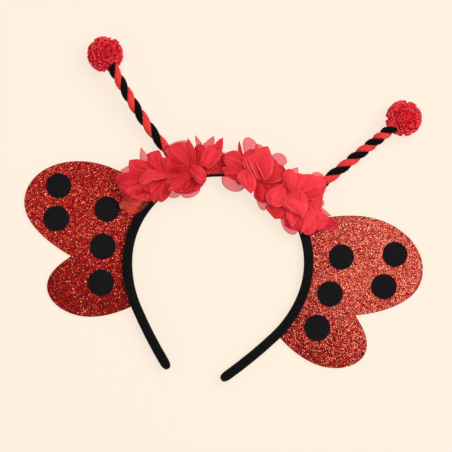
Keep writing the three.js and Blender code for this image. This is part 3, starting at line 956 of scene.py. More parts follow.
@dataclass
class Antenna(SubAssembly):
    """Two chenille stems, black and red, twisted round each other and leaning outwards."""

    side: Side = Side.RIGHT
    foot: tuple[float, float, float] = (46.1, 52.0, 6.6)
    end: tuple[float, float, float] = (102.6, 120.6, 21.0)
    bow: float = 0.0
    begin: float = 2.6
    gain: float = 4.7
    front: float = 0.632
    radius: float = 3.8
    roundness: float = 0.2
    lobe_points: int = 19
    half_angle: float = 86.0
    gap: float = 0.12
    flat_share: float = 0.25
    twist_step: float = 9.0
    fibre_count: int = 9000
    fibre_length: tuple[float, float] = (0.4, 0.9)
    fibre_width: float = 0.15
    fibre_root: float = 0.15
    fibre_reach: float = 0.97
    fibre_lean: float = 0.45
    fibre_seed: int = 7

    def frame(self) -> tuple[Matrix, float]:
        """Find the stem's own axes.

        Returns:
            The matrix from stem axes to the shared frame, in metres, and the stem's length in
            millimetres.
        """
        ends = [on_hoop(*self.foot), on_hoop(*self.end)]
        axis = (ends[1] - ends[0]).normalized()
        across = axis.cross(Vector((0, 0, 1))).normalized()
        front = across.cross(axis)
        turned = Matrix((-across, front, axis)).transposed().to_4x4()
        return Matrix.Translation(ends[0]) @ turned, (ends[1] - ends[0]).length / MM

    def lobe(self, share: np.ndarray | float) -> np.ndarray | float:
        """The strand's radius at a share of its half angle, from its crest to its edge."""
        return self.radius * np.cos(np.radians(share * self.half_angle)) ** self.roundness

    def turns_at(self, share: float) -> float:
        """The turns of the twist from the foot to a share of the stem."""
        return self.begin * share + self.gain * share ** 2 / 2

    def twist(self, offset: float) -> tuple[float, float]:
        """Find a strand's turn at the foot.

        Args:
            offset: 0 for the black strand and 180 for the red one.

        Returns:
            The turn at the foot and the whole turn along the stem, both in degrees.
        """
        return 90 + offset - 360 * self.turns_at(self.front), 360 * self.turns_at(1.0)

    def settle(self, points: np.ndarray) -> np.ndarray:
        """Draw an evenly twisted straight stem out to its real twist and bow, and put it in place.

        Args:
            points: points on the stem's own axes, in millimetres.

        Returns:
            The points in the shared frame, in metres.
        """
        matrix, length = self.frame()
        turns = np.clip(points[:, 2] / length, 0, 1) * self.turns_at(1.0)
        share = 2 * turns / (self.begin + np.sqrt(self.begin ** 2 + 2 * self.gain * turns))
        drawn = points.copy()
        drawn[:, 2] += (share - np.clip(points[:, 2] / length, 0, 1)) * length
        drawn[:, 0] += self.bow * np.sin(math.pi * share)
        return drawn * MM @ np.array(matrix.to_3x3()).T + np.array(matrix.translation)

    def beside(self, points: np.ndarray) -> np.ndarray:
        """Measure points from the stem's bowed middle line.

        Args:
            points: points in the shared frame, in metres.

        Returns:
            The two distances across the stem and the one along it, in millimetres.
        """
        matrix, length = self.frame()
        local = (points - np.array(matrix.translation)) @ np.array(matrix.to_3x3()) / MM
        local[:, 0] -= self.bow * np.sin(math.pi * np.clip(local[:, 2] / length, 0, 1))
        return local

    def strand(self, name: str, offset: float) -> bpy.types.Object:
        """Screw a half-round section along the stem and close its ends.

        Args:
            name: the piece's name.
            offset: the strand's turn from the black one, in degrees.

        Returns:
            The strand's core, in place.
        """
        _, length = self.frame()
        begin, turn = self.twist(offset)
        deselect()
        bpy.ops.mesh.primitive_circle_add(vertices=self.lobe_points + 3, radius=1.0)
        piece = named(name)
        with editing(piece) as mesh:
            order = sorted(mesh.verts, key=lambda point: math.atan2(point.co.y, point.co.x))
            for index, point in enumerate(order):
                if index < self.lobe_points:
                    share = 2 * index / (self.lobe_points - 1) - 1
                    radius, angle = self.lobe(share), math.radians(begin + share * self.half_angle)
                    point.co = Vector((radius * math.cos(angle), radius * math.sin(angle), 0)) * MM
                else:
                    share = self.flat_share * (1 - (index - self.lobe_points))
                    ahead, aside = math.radians(begin), math.radians(begin + 90)
                    x = self.gap * math.cos(ahead) + share * self.radius * math.cos(aside)
                    y = self.gap * math.sin(ahead) + share * self.radius * math.sin(aside)
                    point.co = Vector((x, y, 0)) * MM
        steps = round(turn / self.twist_step)
        apply_modifier(piece, "SCREW", axis="Z", angle=math.radians(turn), screw_offset=length * MM,
                       iterations=1, steps=steps, render_steps=steps, use_merge_vertices=False)
        with editing(piece):
            bpy.ops.mesh.select_all(action="DESELECT")
            bpy.ops.mesh.select_non_manifold()
            bpy.ops.mesh.fill_holes(sides=0)
            bpy.ops.mesh.select_all(action="SELECT")
            bpy.ops.mesh.normals_make_consistent(inside=False)
        points = np.empty(len(piece.data.vertices) * 3)
        piece.data.vertices.foreach_get("co", points)
        piece.data.vertices.foreach_set("co", self.settle(points.reshape(-1, 3) / MM).ravel())
        select_only(piece)
        bpy.ops.object.shade_smooth_by_angle(angle=SHARP)
        return piece

    def fibres(self, name: str, offset: float) -> bpy.types.Object:
        """Stand short fibres on a strand's outside.

        Args:
            name: the piece's name.
            offset: the strand's turn from the black one, in degrees.

        Returns:
            The fibres as one mesh of slim triangles, in place.
        """
        _, length = self.frame()
        begin, turn = self.twist(offset)
        rng = np.random.default_rng(round(self.fibre_seed + offset) + self.side.value)
        count = self.fibre_count
        share = rng.uniform(-self.fibre_reach, self.fibre_reach, count)
        along = rng.uniform(0, 1, count)
        angle = np.radians(begin + share * self.half_angle + along * turn)
        outward = np.stack([np.cos(angle), np.sin(angle), np.zeros(count)], axis=1)
        root = outward * (self.lobe(share) - self.fibre_root)[:, None]
        root[:, 2] = along * length
        lean = unit(outward + rng.normal(0, self.fibre_lean, (count, 3)))
        wide = unit(np.cross(lean, rng.normal(0, 1, (count, 3)))) * self.fibre_width / 2
        tip = root + lean * rng.uniform(*self.fibre_length, count)[:, None]
        points = np.stack([root - wide, root + wide, tip], axis=1).reshape(-1, 3)
        return from_arrays(name, self.settle(points), np.arange(count * 3).reshape(-1, 3),
                           smooth=False)

    def build(self) -> None:
        """Make the black strand and the red strand, each with its fibres joined on."""
        word = self.side.word
        for colour, offset, finish in (("black", 0.0, CHENILLE_BLACK),
                                       ("red", 180.0, CHENILLE_RED)):
            core = self.strand(f"chenille_{colour}_{word}", offset)
            fuzz = self.fibres(f"fuzz_{colour}_{word}", offset)
            join(core, fuzz)
            self.keep(core, finish.material(), f"chenille_{colour}", f"antenna_{word}_{colour}")


@dataclass
class Pompom(SubAssembly):
    """A ball of gauze gathered into crowded open loops, on the end of an antenna."""

    side: Side = Side.RIGHT
    stem: Antenna = field(default_factory=Antenna)
    radius: float = 13.2
    inner: float = 10.4
    core: float = 11.2
    loops: int = 240
    half: tuple[float, float] = (1.35, 2.3)
    flatness: tuple[float, float] = (0.4, 0.9)
    unevenness: float = 1.3
    clefts: tuple[float, ...] = ()
    cleft_depth: float = 0.15
    cleft_width: float = 4.5
    points: int = 18
    levels: int = 5
    scatter: float = 0.06
    wobbles: tuple[float, float] = (0.16, 0.13)
    fray: tuple[float, float] = (-0.35, 0.12)
    flare: tuple[float, float, float] = (0.62, 0.3, 0.14)
    loop_cloth: tuple[float, float] = (9.0, 5.0)
    stem_room: float = 0.2
    stem_end: float = 0.5
    seed: int = 90

    def loop_points(self, rng: np.random.Generator) -> np.ndarray:
        """Spread the loops over the ball and stand each one up from the core.

        Args:
            rng: the ball's own random numbers.

        Returns:
            Points in millimetres from the ball's centre, by loop, level and place round the loop.
        """
        number = np.arange(self.loops) + 0.5
        polar = np.arccos(1 - 2 * number / self.loops)
        around = math.pi * (1 + math.sqrt(5)) * number
        out = np.stack([np.sin(polar) * np.cos(around), np.sin(polar) * np.sin(around),
                        np.cos(polar)], axis=1)
        out = unit(out + rng.normal(0, self.scatter, out.shape))
        aside = unit(np.cross(out, rng.normal(0, 1, out.shape)))
        ahead = np.cross(out, aside)
        turn = np.linspace(0, math.tau, self.points, endpoint=False)
        phase = rng.uniform(0, math.tau, (self.loops, 2, 1))
        wobble = (1 + self.wobbles[0] * np.sin(2 * turn + phase[:, 0])
                  + self.wobbles[1] * np.sin(3 * turn + phase[:, 1]))
        half = rng.uniform(*self.half, (self.loops, 1))
        along = half * wobble * np.cos(turn)
        across = half * rng.uniform(*self.flatness, (self.loops, 1)) * wobble * np.sin(turn)
        reach = self.radius - self.unevenness * rng.uniform(0, 1, (self.loops, 1)) ** 2
        reach = reach + rng.uniform(*self.fray, (self.loops, self.points))
        spread = along[..., None] * aside[:, None] + across[..., None] * ahead[:, None]
        neck, swell, lip = self.flare
        rows = []
        for level in np.linspace(0, 1, self.levels):
            distance = (self.inner + (reach - self.inner) * level)[..., None]
            width = (neck + swell * level + lip * level ** 5) * distance / self.radius
            rows.append(unit(out[:, None] * distance + spread * width) * distance)
        return self.cleave(np.stack(rows, axis=1))

    def cleave(self, points: np.ndarray) -> np.ndarray:
        """Press the loops in where one gathered strip meets the next.

        Args:
            points: the loops' points in millimetres from the ball's centre.

        Returns:
            The points, nearer to the core along each cleft.
        """
        rim = np.hypot(points[..., 0], points[..., 1]) / np.linalg.norm(points, axis=-1)
        around = np.degrees(np.arctan2(points[..., 1], points[..., 0]))
        press = np.zeros(rim.shape)
        for cleft in self.clefts:
            away = np.abs((around - cleft + 180) % 360 - 180)
            press = np.maximum(press, rim * np.exp(-(away / self.cleft_width) ** 2))
        return points * (1 - self.cleft_depth * press)[..., None]

    def build(self) -> None:
        """Crowd the loops round a small core and dress the ball."""
        word = self.side.word
        low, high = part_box(f"pompom_{word}")
        centre = np.array((low + high) / 2) / MM
        rng = np.random.default_rng(self.seed + self.side.value)
        placed = self.loop_points(rng).reshape(-1, 3) + centre
        at = np.arange(len(placed)).reshape(self.loops, self.levels, self.points)
        after = np.roll(at, -1, axis=2)
        faces = np.stack([at[:, :-1], after[:, :-1], after[:, 1:], at[:, 1:]], axis=-1).reshape(-1, 4)
        level = np.tile(np.repeat(np.linspace(0, 1, self.levels), self.points), self.loops)
        around = np.tile(np.linspace(0, self.loop_cloth[0], self.points), self.loops * self.levels)
        flat = np.stack([around, level * self.loop_cloth[1]], axis=1) * MM
        piece = from_arrays(f"ruffle_ball_{word}", self.clear_of_stem(placed) * MM, faces, uv=flat)
        # Painted light and shade: the loops' lips paler, a painted highlight, and their colour deepening
        # towards the core, painted shade in the pits
        add_tone(piece, "edge", level ** 6)
        add_tone(piece, "tone", level)
        deselect()
        bpy.ops.mesh.primitive_ico_sphere_add(subdivisions=3, radius=self.core * MM,
                                              location=Vector(centre * MM))
        core = named(f"ruffle_core_{word}")
        # Painted shade: the core takes the deepest colour, for the darkest pits
        for name in ("edge", "tone"):
            add_tone(core, name, np.zeros(len(core.data.vertices)))
        join(piece, core)
        self.keep(piece, RUFFLE.material(), "ruffle_red", f"pompom_{word}")

    def clear_of_stem(self, points: np.ndarray) -> np.ndarray:
        """Push the loops aside where the antenna goes into the ball.

        Args:
            points: the loops' points, in millimetres of the shared frame.

        Returns:
            The points, clear of the stem.
        """
        matrix, length = self.stem.frame()
        local = self.stem.beside(points * MM)
        distance = np.hypot(local[:, 0], local[:, 1])
        room = self.stem.radius + self.stem_room
        inner = (local[:, 2] < length + self.stem_end) & (distance < room)
        push = np.where(inner, room / np.maximum(distance, NEAR_ZERO) - 1, 0.0)
        moves = np.stack([local[:, 0] * push, local[:, 1] * push, np.zeros(len(local))], axis=1)
        return points + moves @ np.array(matrix.to_3x3()).T


@dataclass
class NetStrip(SubAssembly):
    """A strip of stiff red net that lies along the band under the flowers."""

    name: str = "net_tape"
    nodes: tuple[str, ...] = ("flower_tape",)
    sweep: tuple[float, float] = (30.5, 161.0)
    base: float = 10.7
    radii: tuple[float, float, float] = (63.5, 71.0, 86.0)
    fall: float = 6.0
    narrow: float = 0.0
    taper: float = 0.0
    ripples: float = 7.0
    ripple: float = 0.9
    crumple: float = 0.0
    crumples: tuple[tuple[float, float, float], ...] = ((41.0, 0.5, 0.0), (67.0, -0.9, 1.3))
    sway: tuple[float, float] = (53.0, 0.3)
    slack: float = 0.12
    ripple_rise: float = 9.0
    clearance: float = 0.3
    cell: float = 1.6
    strand: float = 0.42
    keys_per_mm: int = 50
    stem_from: float = -4.0
    stem_room: float = 4.4
    finish: PileFinish | None = None

    def drape(self, along: np.ndarray, across: np.ndarray) -> np.ndarray:
        """Lay flat points of the strip over the band.

        Args:
            along: the share of the sweep.
            across: millimetres from the strip's inner edge.

        Returns:
            Points in millimetres from the hoop's centre.
        """
        inner, edge, outer = self.radii
        slope = math.hypot(outer - edge, self.fall)
        outer = outer - self.narrow * (1 - (2 * along - 1) ** 4)
        radius = np.where(across < edge - inner, inner + across,
                          edge + (across - edge + inner) * (outer - edge) / slope)
        radius = radius + self.taper * along ** 8 * np.clip((outer - radius) / (outer - inner), 0, 1)
        drop = np.clip((radius - edge) / (outer - edge), 0, 1)
        angle = np.radians(self.sweep[0] + (self.sweep[1] - self.sweep[0]) * along)
        wave = self.ripple * (0.5 + 0.5 * np.sin(along * math.tau * self.ripples))
        wave = wave * np.clip((radius - inner) / self.ripple_rise, 0, 1)
        if self.crumple:
            fold = sum(np.sin(along * rate + lean * across + start) for rate, lean, start in self.crumples)
            wave = wave + self.crumple * (0.5 + 0.25 * fold)
            rate, lean = self.sway
            radius = radius + self.crumple * 0.5 * np.sin(along * rate + lean * across)
        height = self.base + self.clearance + wave - self.fall * drop
        return np.stack([radius * np.cos(angle), radius * np.sin(angle), height], axis=1)

    def build(self, stems: Sequence[Antenna]) -> None:
        """Make the net's cells and turn them into strands.

        Args:
            stems: the antennae that come up through the net.
        """
        inner, edge, outer = self.radii
        width = edge - inner + math.hypot(outer - edge, self.fall)
        length = math.radians(self.sweep[1] - self.sweep[0]) * (inner + outer) / 2
        side = self.cell / math.sqrt(3)
        points, faces, seen = [], [], {}
        for row in range(int(width / (1.5 * side))):
            for column in range(int(length / self.cell)):
                x = (column + 0.5 + 0.5 * (row % 2)) * self.cell
                y = side + row * 1.5 * side
                corners = []
                for corner in range(6):
                    angle = math.radians(60 * corner + 30)
                    spot = (x + side * math.cos(angle), y + side * math.sin(angle))
                    key = (round(spot[0] * self.keys_per_mm), round(spot[1] * self.keys_per_mm))
                    if key not in seen:
                        seen[key] = len(points)
                        points.append(spot)
                    corners.append(seen[key])
                faces.append(corners)
        flat = np.array(points)
        laid = self.drape(flat[:, 0] / length, flat[:, 1]) * MM + np.array(HOOP_CENTRE)
        kept = np.array([self.clear(laid[cell].mean(0), stems) for cell in faces])
        piece = from_arrays(self.name, laid, np.array(faces)[kept], smooth=False)
        with editing(piece):
            bpy.ops.mesh.delete_loose()
        apply_modifier(piece, "WIREFRAME", thickness=self.strand * MM, use_even_offset=False)
        self.keep(piece, (self.finish or NET).material(), "net_red", *self.nodes)

    def clear(self, place: np.ndarray, stems: Sequence[Antenna]) -> bool:
        """Tell whether a cell of the net is clear of the antennae.

        Args:
            place: the cell's middle, in metres.
            stems: the antennae.

        Returns:
            True where no stem passes.
        """
        for stem in stems:
            x, y, along = stem.beside(place[None])[0]
            if along > self.stem_from and math.hypot(x, y) < self.stem_room:
                return False
        return True


@dataclass(frozen=True)
class Petal:
    """One chiffon petal: its corners on the drawing grid, their heights and its belly in millimetres.

    The upper layer of a sheer petal stops short, so that the lower one shows through alone. The tone is
    partly the cloth's own depth of colour and partly painted light and shade, set for each petal by how
    it is lit. The neck is the root's share of its width; the root's painted shade is how much deeper its
    colour is made there, a painted shade where the petals crowd into the heart. The rim is how pale the
    cut edge looks, partly the cut edge's own look and partly a painted highlight. A fold is a narrow
    crease of the cloth, painted pale all over as a highlight line. A thin layer lets more of what lies
    under it show. Teeth are the steps of a ragged cut.
    """

    root: GridSpot
    left: GridSpot
    tip: GridSpot
    right: GridSpot
    heights: tuple[float, float, float, float]
    belly: float
    end: Tip
    tone: float = 0.55
    sheer: bool = False
    neck: float = 0.4
    hollow: float = 0.45
    rim: float = 0.32
    fold: bool = False
    thin: float = 0.0
    teeth: int = 0


@dataclass(frozen=True)
class Grid:
    """The square grid that the petals are drawn on, in the picture's own frame."""

    middle: GridSpot = (226.0, 226.0)
    over: GridSpot = VIEW_CENTRE
    step: float = 0.709
    roll: float = VIEW_ROLL

    def place(self, spot: GridSpot, height: float) -> np.ndarray:
        """Find a point of the drawing on the headband.

        Args:
            spot: grid columns to the right and rows down.
            height: millimetres above the floor.

        Returns:
            The point in millimetres from the hoop's centre.
        """
        aside = (spot[0] - self.middle[0]) * self.step
        ahead = (self.middle[1] - spot[1]) * self.step
        turn = math.radians(self.roll)
        return np.array([self.over[0] + aside * math.cos(turn) - ahead * math.sin(turn),
                         self.over[1] + aside * math.sin(turn) + ahead * math.cos(turn), height])


@dataclass
class Flower(SubAssembly):
    """A flower of layered chiffon petals gathered on the band."""

    name: str = ""
    seed: int = 1
    petals: tuple[Petal, ...] = ()
    grid: Grid = Grid()
    base: float = 14.3
    # Painted light and shade: every tone of the flower raised or lowered together, lightest on the right
    # where the light falls
    lift: float = 0.0
    shoulder: float = 0.55
    folds: int = 2
    tooth: float = 0.22
    tooth_from: float = 0.4
    sheer_reach: tuple[float, float] = (0.6, 0.72)
    full_reach: tuple[float, float] = (0.93, 0.99)
    layer_gap: float = 0.7
    bluntness: float = 1.6
    waves: int = 5
    wave: tuple[float, float] = (0.12, 0.3)
    wave_aside: tuple[float, float] = (1.5, 5.0)
    wave_along: tuple[float, float] = (-5.0, 5.0)
    pleat: float = 0.12
    pleat_rate: tuple[float, float] = (7.0, 11.0)
    pleat_rise: float = 0.6
    fold_rise: float = 0.2
    crease_low: tuple[float, float, float] = (-0.7, -0.4, 0.12)
    crease_high: tuple[float, float, float] = (0.7, 0.4, 0.22)
    ruffle: float = 0.4
    ruffle_rate: tuple[float, float] = (8.0, 13.0)
    phase: tuple[float, float] = (0.0, 6.0)
    stiff_below: float = 5.0
    edge_powers: tuple[int, int] = (18, 24)
    # Painted light and shade: the tones darken and lighten with the cloth's waves and run paler along its
    # creases
    wave_shade: float = 0.25
    fold_shade: float = 0.2
    ground_shade: float = -0.02
    veil_shade: tuple[float, float] = (0.25, 0.4)
    tone_jitter: float = 0.15
    rows: int = 22
    columns: int = 25
    strip: float = 35.0

    def leaf(self, petal: Petal, layer: int, rng: np.random.Generator) -> tuple[np.ndarray, ...]:
        """Shape one layer of a petal: a bellied patch, waved, pleated and creased.

        Args:
            petal: its corners and heights.
            layer: 0 for the lower layer and 1 for the upper one.
            rng: the flower's own random numbers.

        Returns:
            Points in millimetres from the hoop's centre, flat cloth coordinates, an edge mask and
            the painted light and shade of each point.
        """
        root, left, tip, right = (self.grid.place(spot, self.base + height) for spot, height in zip(
            (petal.root, petal.left, petal.tip, petal.right), petal.heights))
        if layer:
            short = rng.uniform(*(self.sheer_reach if petal.sheer else self.full_reach))
            left, tip, right = (root + (corner - root) * short + np.array([0, 0, self.layer_gap])
                                for corner in (left, tip, right))
        end = Tip.POINT if layer and petal.sheer else petal.end
        middle, half = (left + right) / 2, (right - left) / 2
        along, aside = np.meshgrid(np.linspace(0, 1, self.rows), np.linspace(-1, 1, self.columns),
                                   indexing="ij")
        early = np.clip(along / self.shoulder, 0, 1)[..., None]
        opening = petal.neck + (1 - petal.neck) * np.sin(early * math.pi / 2)
        late = np.clip((along - self.shoulder) / (1 - self.shoulder), 0, 1)[..., None]
        ahead, wide = late, 1 - late ** self.bluntness
        if end is Tip.ROUND:
            ahead, wide = np.sin(late * math.pi / 2), np.cos(late * math.pi / 2)
        spine = root + (middle - root) * early + (tip - middle) * ahead
        toothed = (along > self.tooth_from) & (petal.teeth > 0)
        ragged = 1 - self.tooth * (along * petal.teeth % 1) * toothed
        spread = half * opening * wide * ragged[..., None]
        points = spine + spread * aside[..., None]
        size = float(np.linalg.norm(half))
        waves = sum(rng.uniform(*self.wave) * np.sin(
            aside * rng.uniform(*self.wave_aside) + along * rng.uniform(*self.wave_along)
            + rng.uniform(*self.phase)) for _ in range(self.waves))
        pleats = self.pleat * np.sin(aside * rng.uniform(*self.pleat_rate) + rng.uniform(*self.phase))
        pleats = pleats * np.sin(math.pi * along ** 0.7)
        creases = rng.uniform(self.crease_low, self.crease_high, (self.folds, 3))
        folds = sum(np.maximum(0, 1 - np.abs(aside - start - bend * along) / width)
                    for start, bend, width in creases)
        ruffle = self.ruffle * np.abs(aside) ** 4
        ruffle = ruffle * np.sin(along * rng.uniform(*self.ruffle_rate) + rng.uniform(*self.phase))
        points[..., 2] += petal.belly * np.sin(math.pi * along ** 0.8) * (1 - aside ** 2)
        relief = waves * along + self.pleat_rise * pleats + ruffle + self.fold_rise * folds
        points[..., 2] += relief * min(1.0, size / self.stiff_below)
        length = np.linalg.norm(middle - root) + np.linalg.norm(tip - middle)
        flat = np.stack([along * length, aside * size], axis=-1).reshape(-1, 2)
        sides, end_edge = np.abs(aside) ** self.edge_powers[0], along ** self.edge_powers[1]
        edge = np.maximum(sides, np.maximum(end_edge, petal.fold))
        # Painted light and shade: darker towards the root, lighter and darker with the pleats and waves,
        # paler along the creases
        painted_shading = self.lift + self.ground_shade + petal.hollow * (along - 0.5) + pleats
        painted_shading = painted_shading + self.wave_shade * waves + self.fold_shade * folds
        return points.reshape(-1, 3), flat, edge.ravel(), painted_shading.ravel()

    def build(self) -> None:
        """Join the layers of all the petals into one gathered piece of cloth."""
        rng = np.random.default_rng(self.seed)
        points, flats, edges, plies, tones, faces = ([] for _ in range(6))
        count = 0
        for petal in self.petals:
            for layer in range(2):
                place, flat, edge, painted_shading = self.leaf(petal, layer, rng)
                sheer = petal.sheer and not layer
                points.append(place)
                flats.append(flat)
                # Full layers get the paler edge, partly a painted highlight
                edges.append(edge * (0.0 if sheer else petal.rim))
                plies.append(edge - petal.thin if sheer else np.ones(len(place)))
                tone = petal.tone + painted_shading + rng.uniform(-self.tone_jitter, self.tone_jitter)
                tones.append(np.clip(tone - sheer * (self.veil_shade[0] + self.veil_shade[1] * edge), 0, 1))
                faces.append(grid_faces(self.rows, self.columns, count))
                count += len(place)
        placed = np.concatenate(points) * MM + np.array(HOOP_CENTRE)
        piece = from_arrays(f"chiffon_{self.name}", placed, np.concatenate(faces),
                            uv=np.concatenate(flats) * MM)
        for name, values in (("edge", edges), ("ply", plies), ("tone", tones)):
            add_tone(piece, name, np.concatenate(values))
        self.keep(piece, CHIFFON.material(), "chiffon_red", self.name)


@dataclass(frozen=True)
class Lamp:
    """One square soft lamp: its place and side in metres and its power in watts."""

    name: str
    place: tuple[float, float, float]
    side: float
    power: float
    colour: Colour = (1.0, 0.985, 0.96)


@dataclass
class Studio:
    """A cream floor, soft light from above and a camera looking straight down."""

    lamps: tuple[Lamp, ...] = (Lamp("key", (0.42, 0.38, 1.1), 0.9, 13.0),
                               Lamp("fill", (-0.7, -0.5, 1.0), 1.2, 2.4))
    room_colour: Colour = (1.0, 0.97, 0.93)
    room_strength: float = 0.32
    floor_size: float = 4.0
    floor_level: float = -0.0002
    sensor: float = 36.0
    view_width: float = 325.4
    view_height: float = 1.1
    view_centre: GridSpot = VIEW_CENTRE
    roll: float = VIEW_ROLL
    plane: float = 2.6

    def build(self) -> None:
        """Set up the floor, the light and the camera."""
        self.floor()
        self.lights()
        self.camera()
        bpy.context.scene.view_settings.view_transform = "Standard"

    def floor(self) -> None:
        """Lay a plain cream floor under the headband."""
        deselect()
        bpy.ops.mesh.primitive_plane_add(size=self.floor_size, location=(0, 0, self.floor_level))
        floor = named("floor")
        floor.data.materials.append(FLOOR.material())

    def lights(self) -> None:
        """Hang large soft lamps over the headband and brighten the room."""
        for lamp in self.lamps:
            light = bpy.data.lights.new(lamp.name, "AREA")
            light.size, light.energy, light.color = lamp.side, lamp.power, lamp.colour
            hung = bpy.data.objects.new(lamp.name, light)
            hung.location = lamp.place
            hung.rotation_euler = (-Vector(lamp.place)).to_track_quat("-Z", "Y").to_euler()
            bpy.context.scene.collection.objects.link(hung)
        world = bpy.data.worlds.new("room")
        world.use_nodes = True
        room = world.node_tree.nodes["Background"]
        room.inputs["Color"].default_value = (*self.room_colour, 1.0)
        room.inputs["Strength"].default_value = self.room_strength
        bpy.context.scene.world = world

    def camera(self) -> None:
        """Look straight down at the front, with the tilt that the headband is seen at."""
        lens = bpy.data.cameras.new("front")
        lens.sensor_width = self.sensor
        lens.lens = self.sensor * self.view_height / (self.view_width * MM)
        eye = bpy.data.objects.new("front", lens)
        eye.location = on_hoop(*self.view_centre, self.plane) + Vector((0, 0, self.view_height))
        eye.rotation_euler = (0, 0, math.radians(self.roll))
        bpy.context.scene.collection.objects.link(eye)
        bpy.context.scene.camera = eye


VELVET = PileFinish("black_velvet", roughness=0.9, sheen=0.06, sheen_roughness=0.35, specular=0.1,
                    ground=(0.0022, 0.0020, 0.0022), mottle=(0.0035, 0.0032, 0.0035),
                    fibre=(0.009, 0.0085, 0.009))
FELT = PileFinish("black_felt", roughness=1.0, sheen=0.03, specular=0.1, fibre_scale=1500.0,
                  mottle_scale=220.0, ground=(0.003, 0.003, 0.004), mottle=(0.005, 0.0045, 0.006),
                  fibre=(0.016, 0.0145, 0.0175))
CHENILLE_BLACK = PileFinish("black_chenille", sheen=0.03, specular=0.1, fibre_scale=3000.0,
                            ground=(0.0018, 0.0016, 0.0016), mottle=(0.003, 0.0025, 0.0025),
                            fibre=(0.006, 0.0055, 0.0055))
CHENILLE_RED = PileFinish("red_chenille", sheen=0.2, sheen_tint=(1.0, 0.4, 0.4), specular=0.1,
                          fibre_scale=3000.0, mottle_scale=260.0, ground=linear(230, 33, 38),
                          mottle=linear(243, 52, 52), fibre=linear(255, 94, 90))
GLITTER_BED = PileFinish("glitter_bed", roughness=0.6, specular=0.1, fibre_scale=1800.0,
                         ground=linear(95, 10, 10), mottle=linear(120, 18, 16),
                         fibre=linear(150, 30, 26))
# One glitter in two copies: the left wing's darker copy is painted shade, the right wing's lighter one
# painted light. The palest tones of both ramps are painted glints.
GLITTER = {
    Side.LEFT: GlitterFinish("red_glitter_left", roughness=0.4, metallic=0.2, specular=0.05, tones=(
        (0.0, linear(80, 3, 2)), (0.4, linear(160, 16, 12)), (0.76, linear(216, 44, 32)),
        (0.9, linear(248, 82, 66)), (0.96, linear(255, 122, 102)), (1.0, linear(255, 180, 158))),
        spark=linear(150, 76, 66)),
    Side.RIGHT: GlitterFinish("red_glitter_right", roughness=0.4, metallic=0.2, specular=0.05, tones=(
        (0.0, linear(58, 2, 1)), (0.25, linear(152, 17, 12)), (0.6, linear(222, 65, 51)),
        (0.88, linear(255, 131, 107)), (1.0, linear(255, 184, 160)))),
}
# The ruffle's deep colour is painted shade in its pits and its edge colour a painted highlight on the loop
# lips
RUFFLE = GauzeFinish("red_ruffle", specular=0.1, colour=linear(248, 48, 64), deep=linear(194, 19, 31),
                     edge=linear(252, 96, 110), cover=(1.0, 1.0))
# The chiffon's glow is painted light and its deep colour is partly painted shade
CHIFFON = GauzeFinish("red_chiffon", roughness=0.7, specular=0.05, colour=linear(246, 64, 76),
                      deep=linear(166, 2, 10), edge=linear(255, 118, 126), veil=linear(222, 42, 63),
                      cover=(0.68, 0.82), glow=0.08)
NET = PileFinish("red_net", roughness=0.5, specular=0.1, fibre_scale=900.0,
                 ground=linear(250, 60, 46), mottle=linear(255, 76, 60), fibre=linear(255, 118, 100))
NET_DEEP = PileFinish("deep_red_net", roughness=0.5, specular=0.1, fibre_scale=900.0,
                      ground=linear(222, 32, 42), mottle=linear(238, 56, 64),
                      fibre=linear(250, 96, 100))
FLOOR = FloorFinish("cream_floor", roughness=1.0, specular=0.0)

# Painted light and shade on the glitter: the lower lobes darker, the left wing lighter near the hoop and
# far out, the right wing lighter outwards and upwards
# The right wing's last shade ends below the wing, so it changes the whole of it
WINGS = (
    Wing(side=Side.LEFT, droop=2.0, shades=(
        Shade(False, 140.0, 62.0, 0.25), Shade(True, -5.0, -40.0, -0.9),
        Shade(False, 110.0, 140.0, 0.25))),
    Wing(side=Side.RIGHT, shades=(
        Shade(False, 60.0, 95.0, 0.6), Shade(True, -58.0, 0.0, 1.2),
        Shade(True, -90.0, -89.0, -1.15))),
)
STEMS = (
    Antenna(side=Side.LEFT, foot=(-37.0, 59.4, 6.6), end=(-102.6, 121.6, 21.0), bow=3.2,
            begin=3.2, gain=2.2, front=0.585),
    Antenna(side=Side.RIGHT),
)
# Where each ball's gathered strips meet, in degrees round its rim
CLEFTS = {Side.LEFT: (77.0, 285.0), Side.RIGHT: (89.0, 192.0, 282.0)}
NETS = (
    NetStrip(sweep=(30.5, 158.0), narrow=7.0, taper=7.5),
    NetStrip(name="net_gather", nodes=(), sweep=(84.0, 120.0), radii=(63.8, 69.0, 74.0), fall=0.5,
             crumple=2.0, cell=1.7, strand=0.46, finish=NET_DEEP),
    NetStrip(name="net_end_left", nodes=(), sweep=(146.0, 162.5), radii=(69.0, 71.0, 82.0), fall=5.5,
             ripples=2.0, crumple=0.5, cell=1.5, strand=0.54),
    NetStrip(name="net_end_band", nodes=(), sweep=(141.0, 162.5), base=11.2, radii=(65.0, 70.6, 75.6),
             fall=2.0, taper=6.0, ripples=2.0, crumple=0.3, cell=2.0, strand=0.36),
)

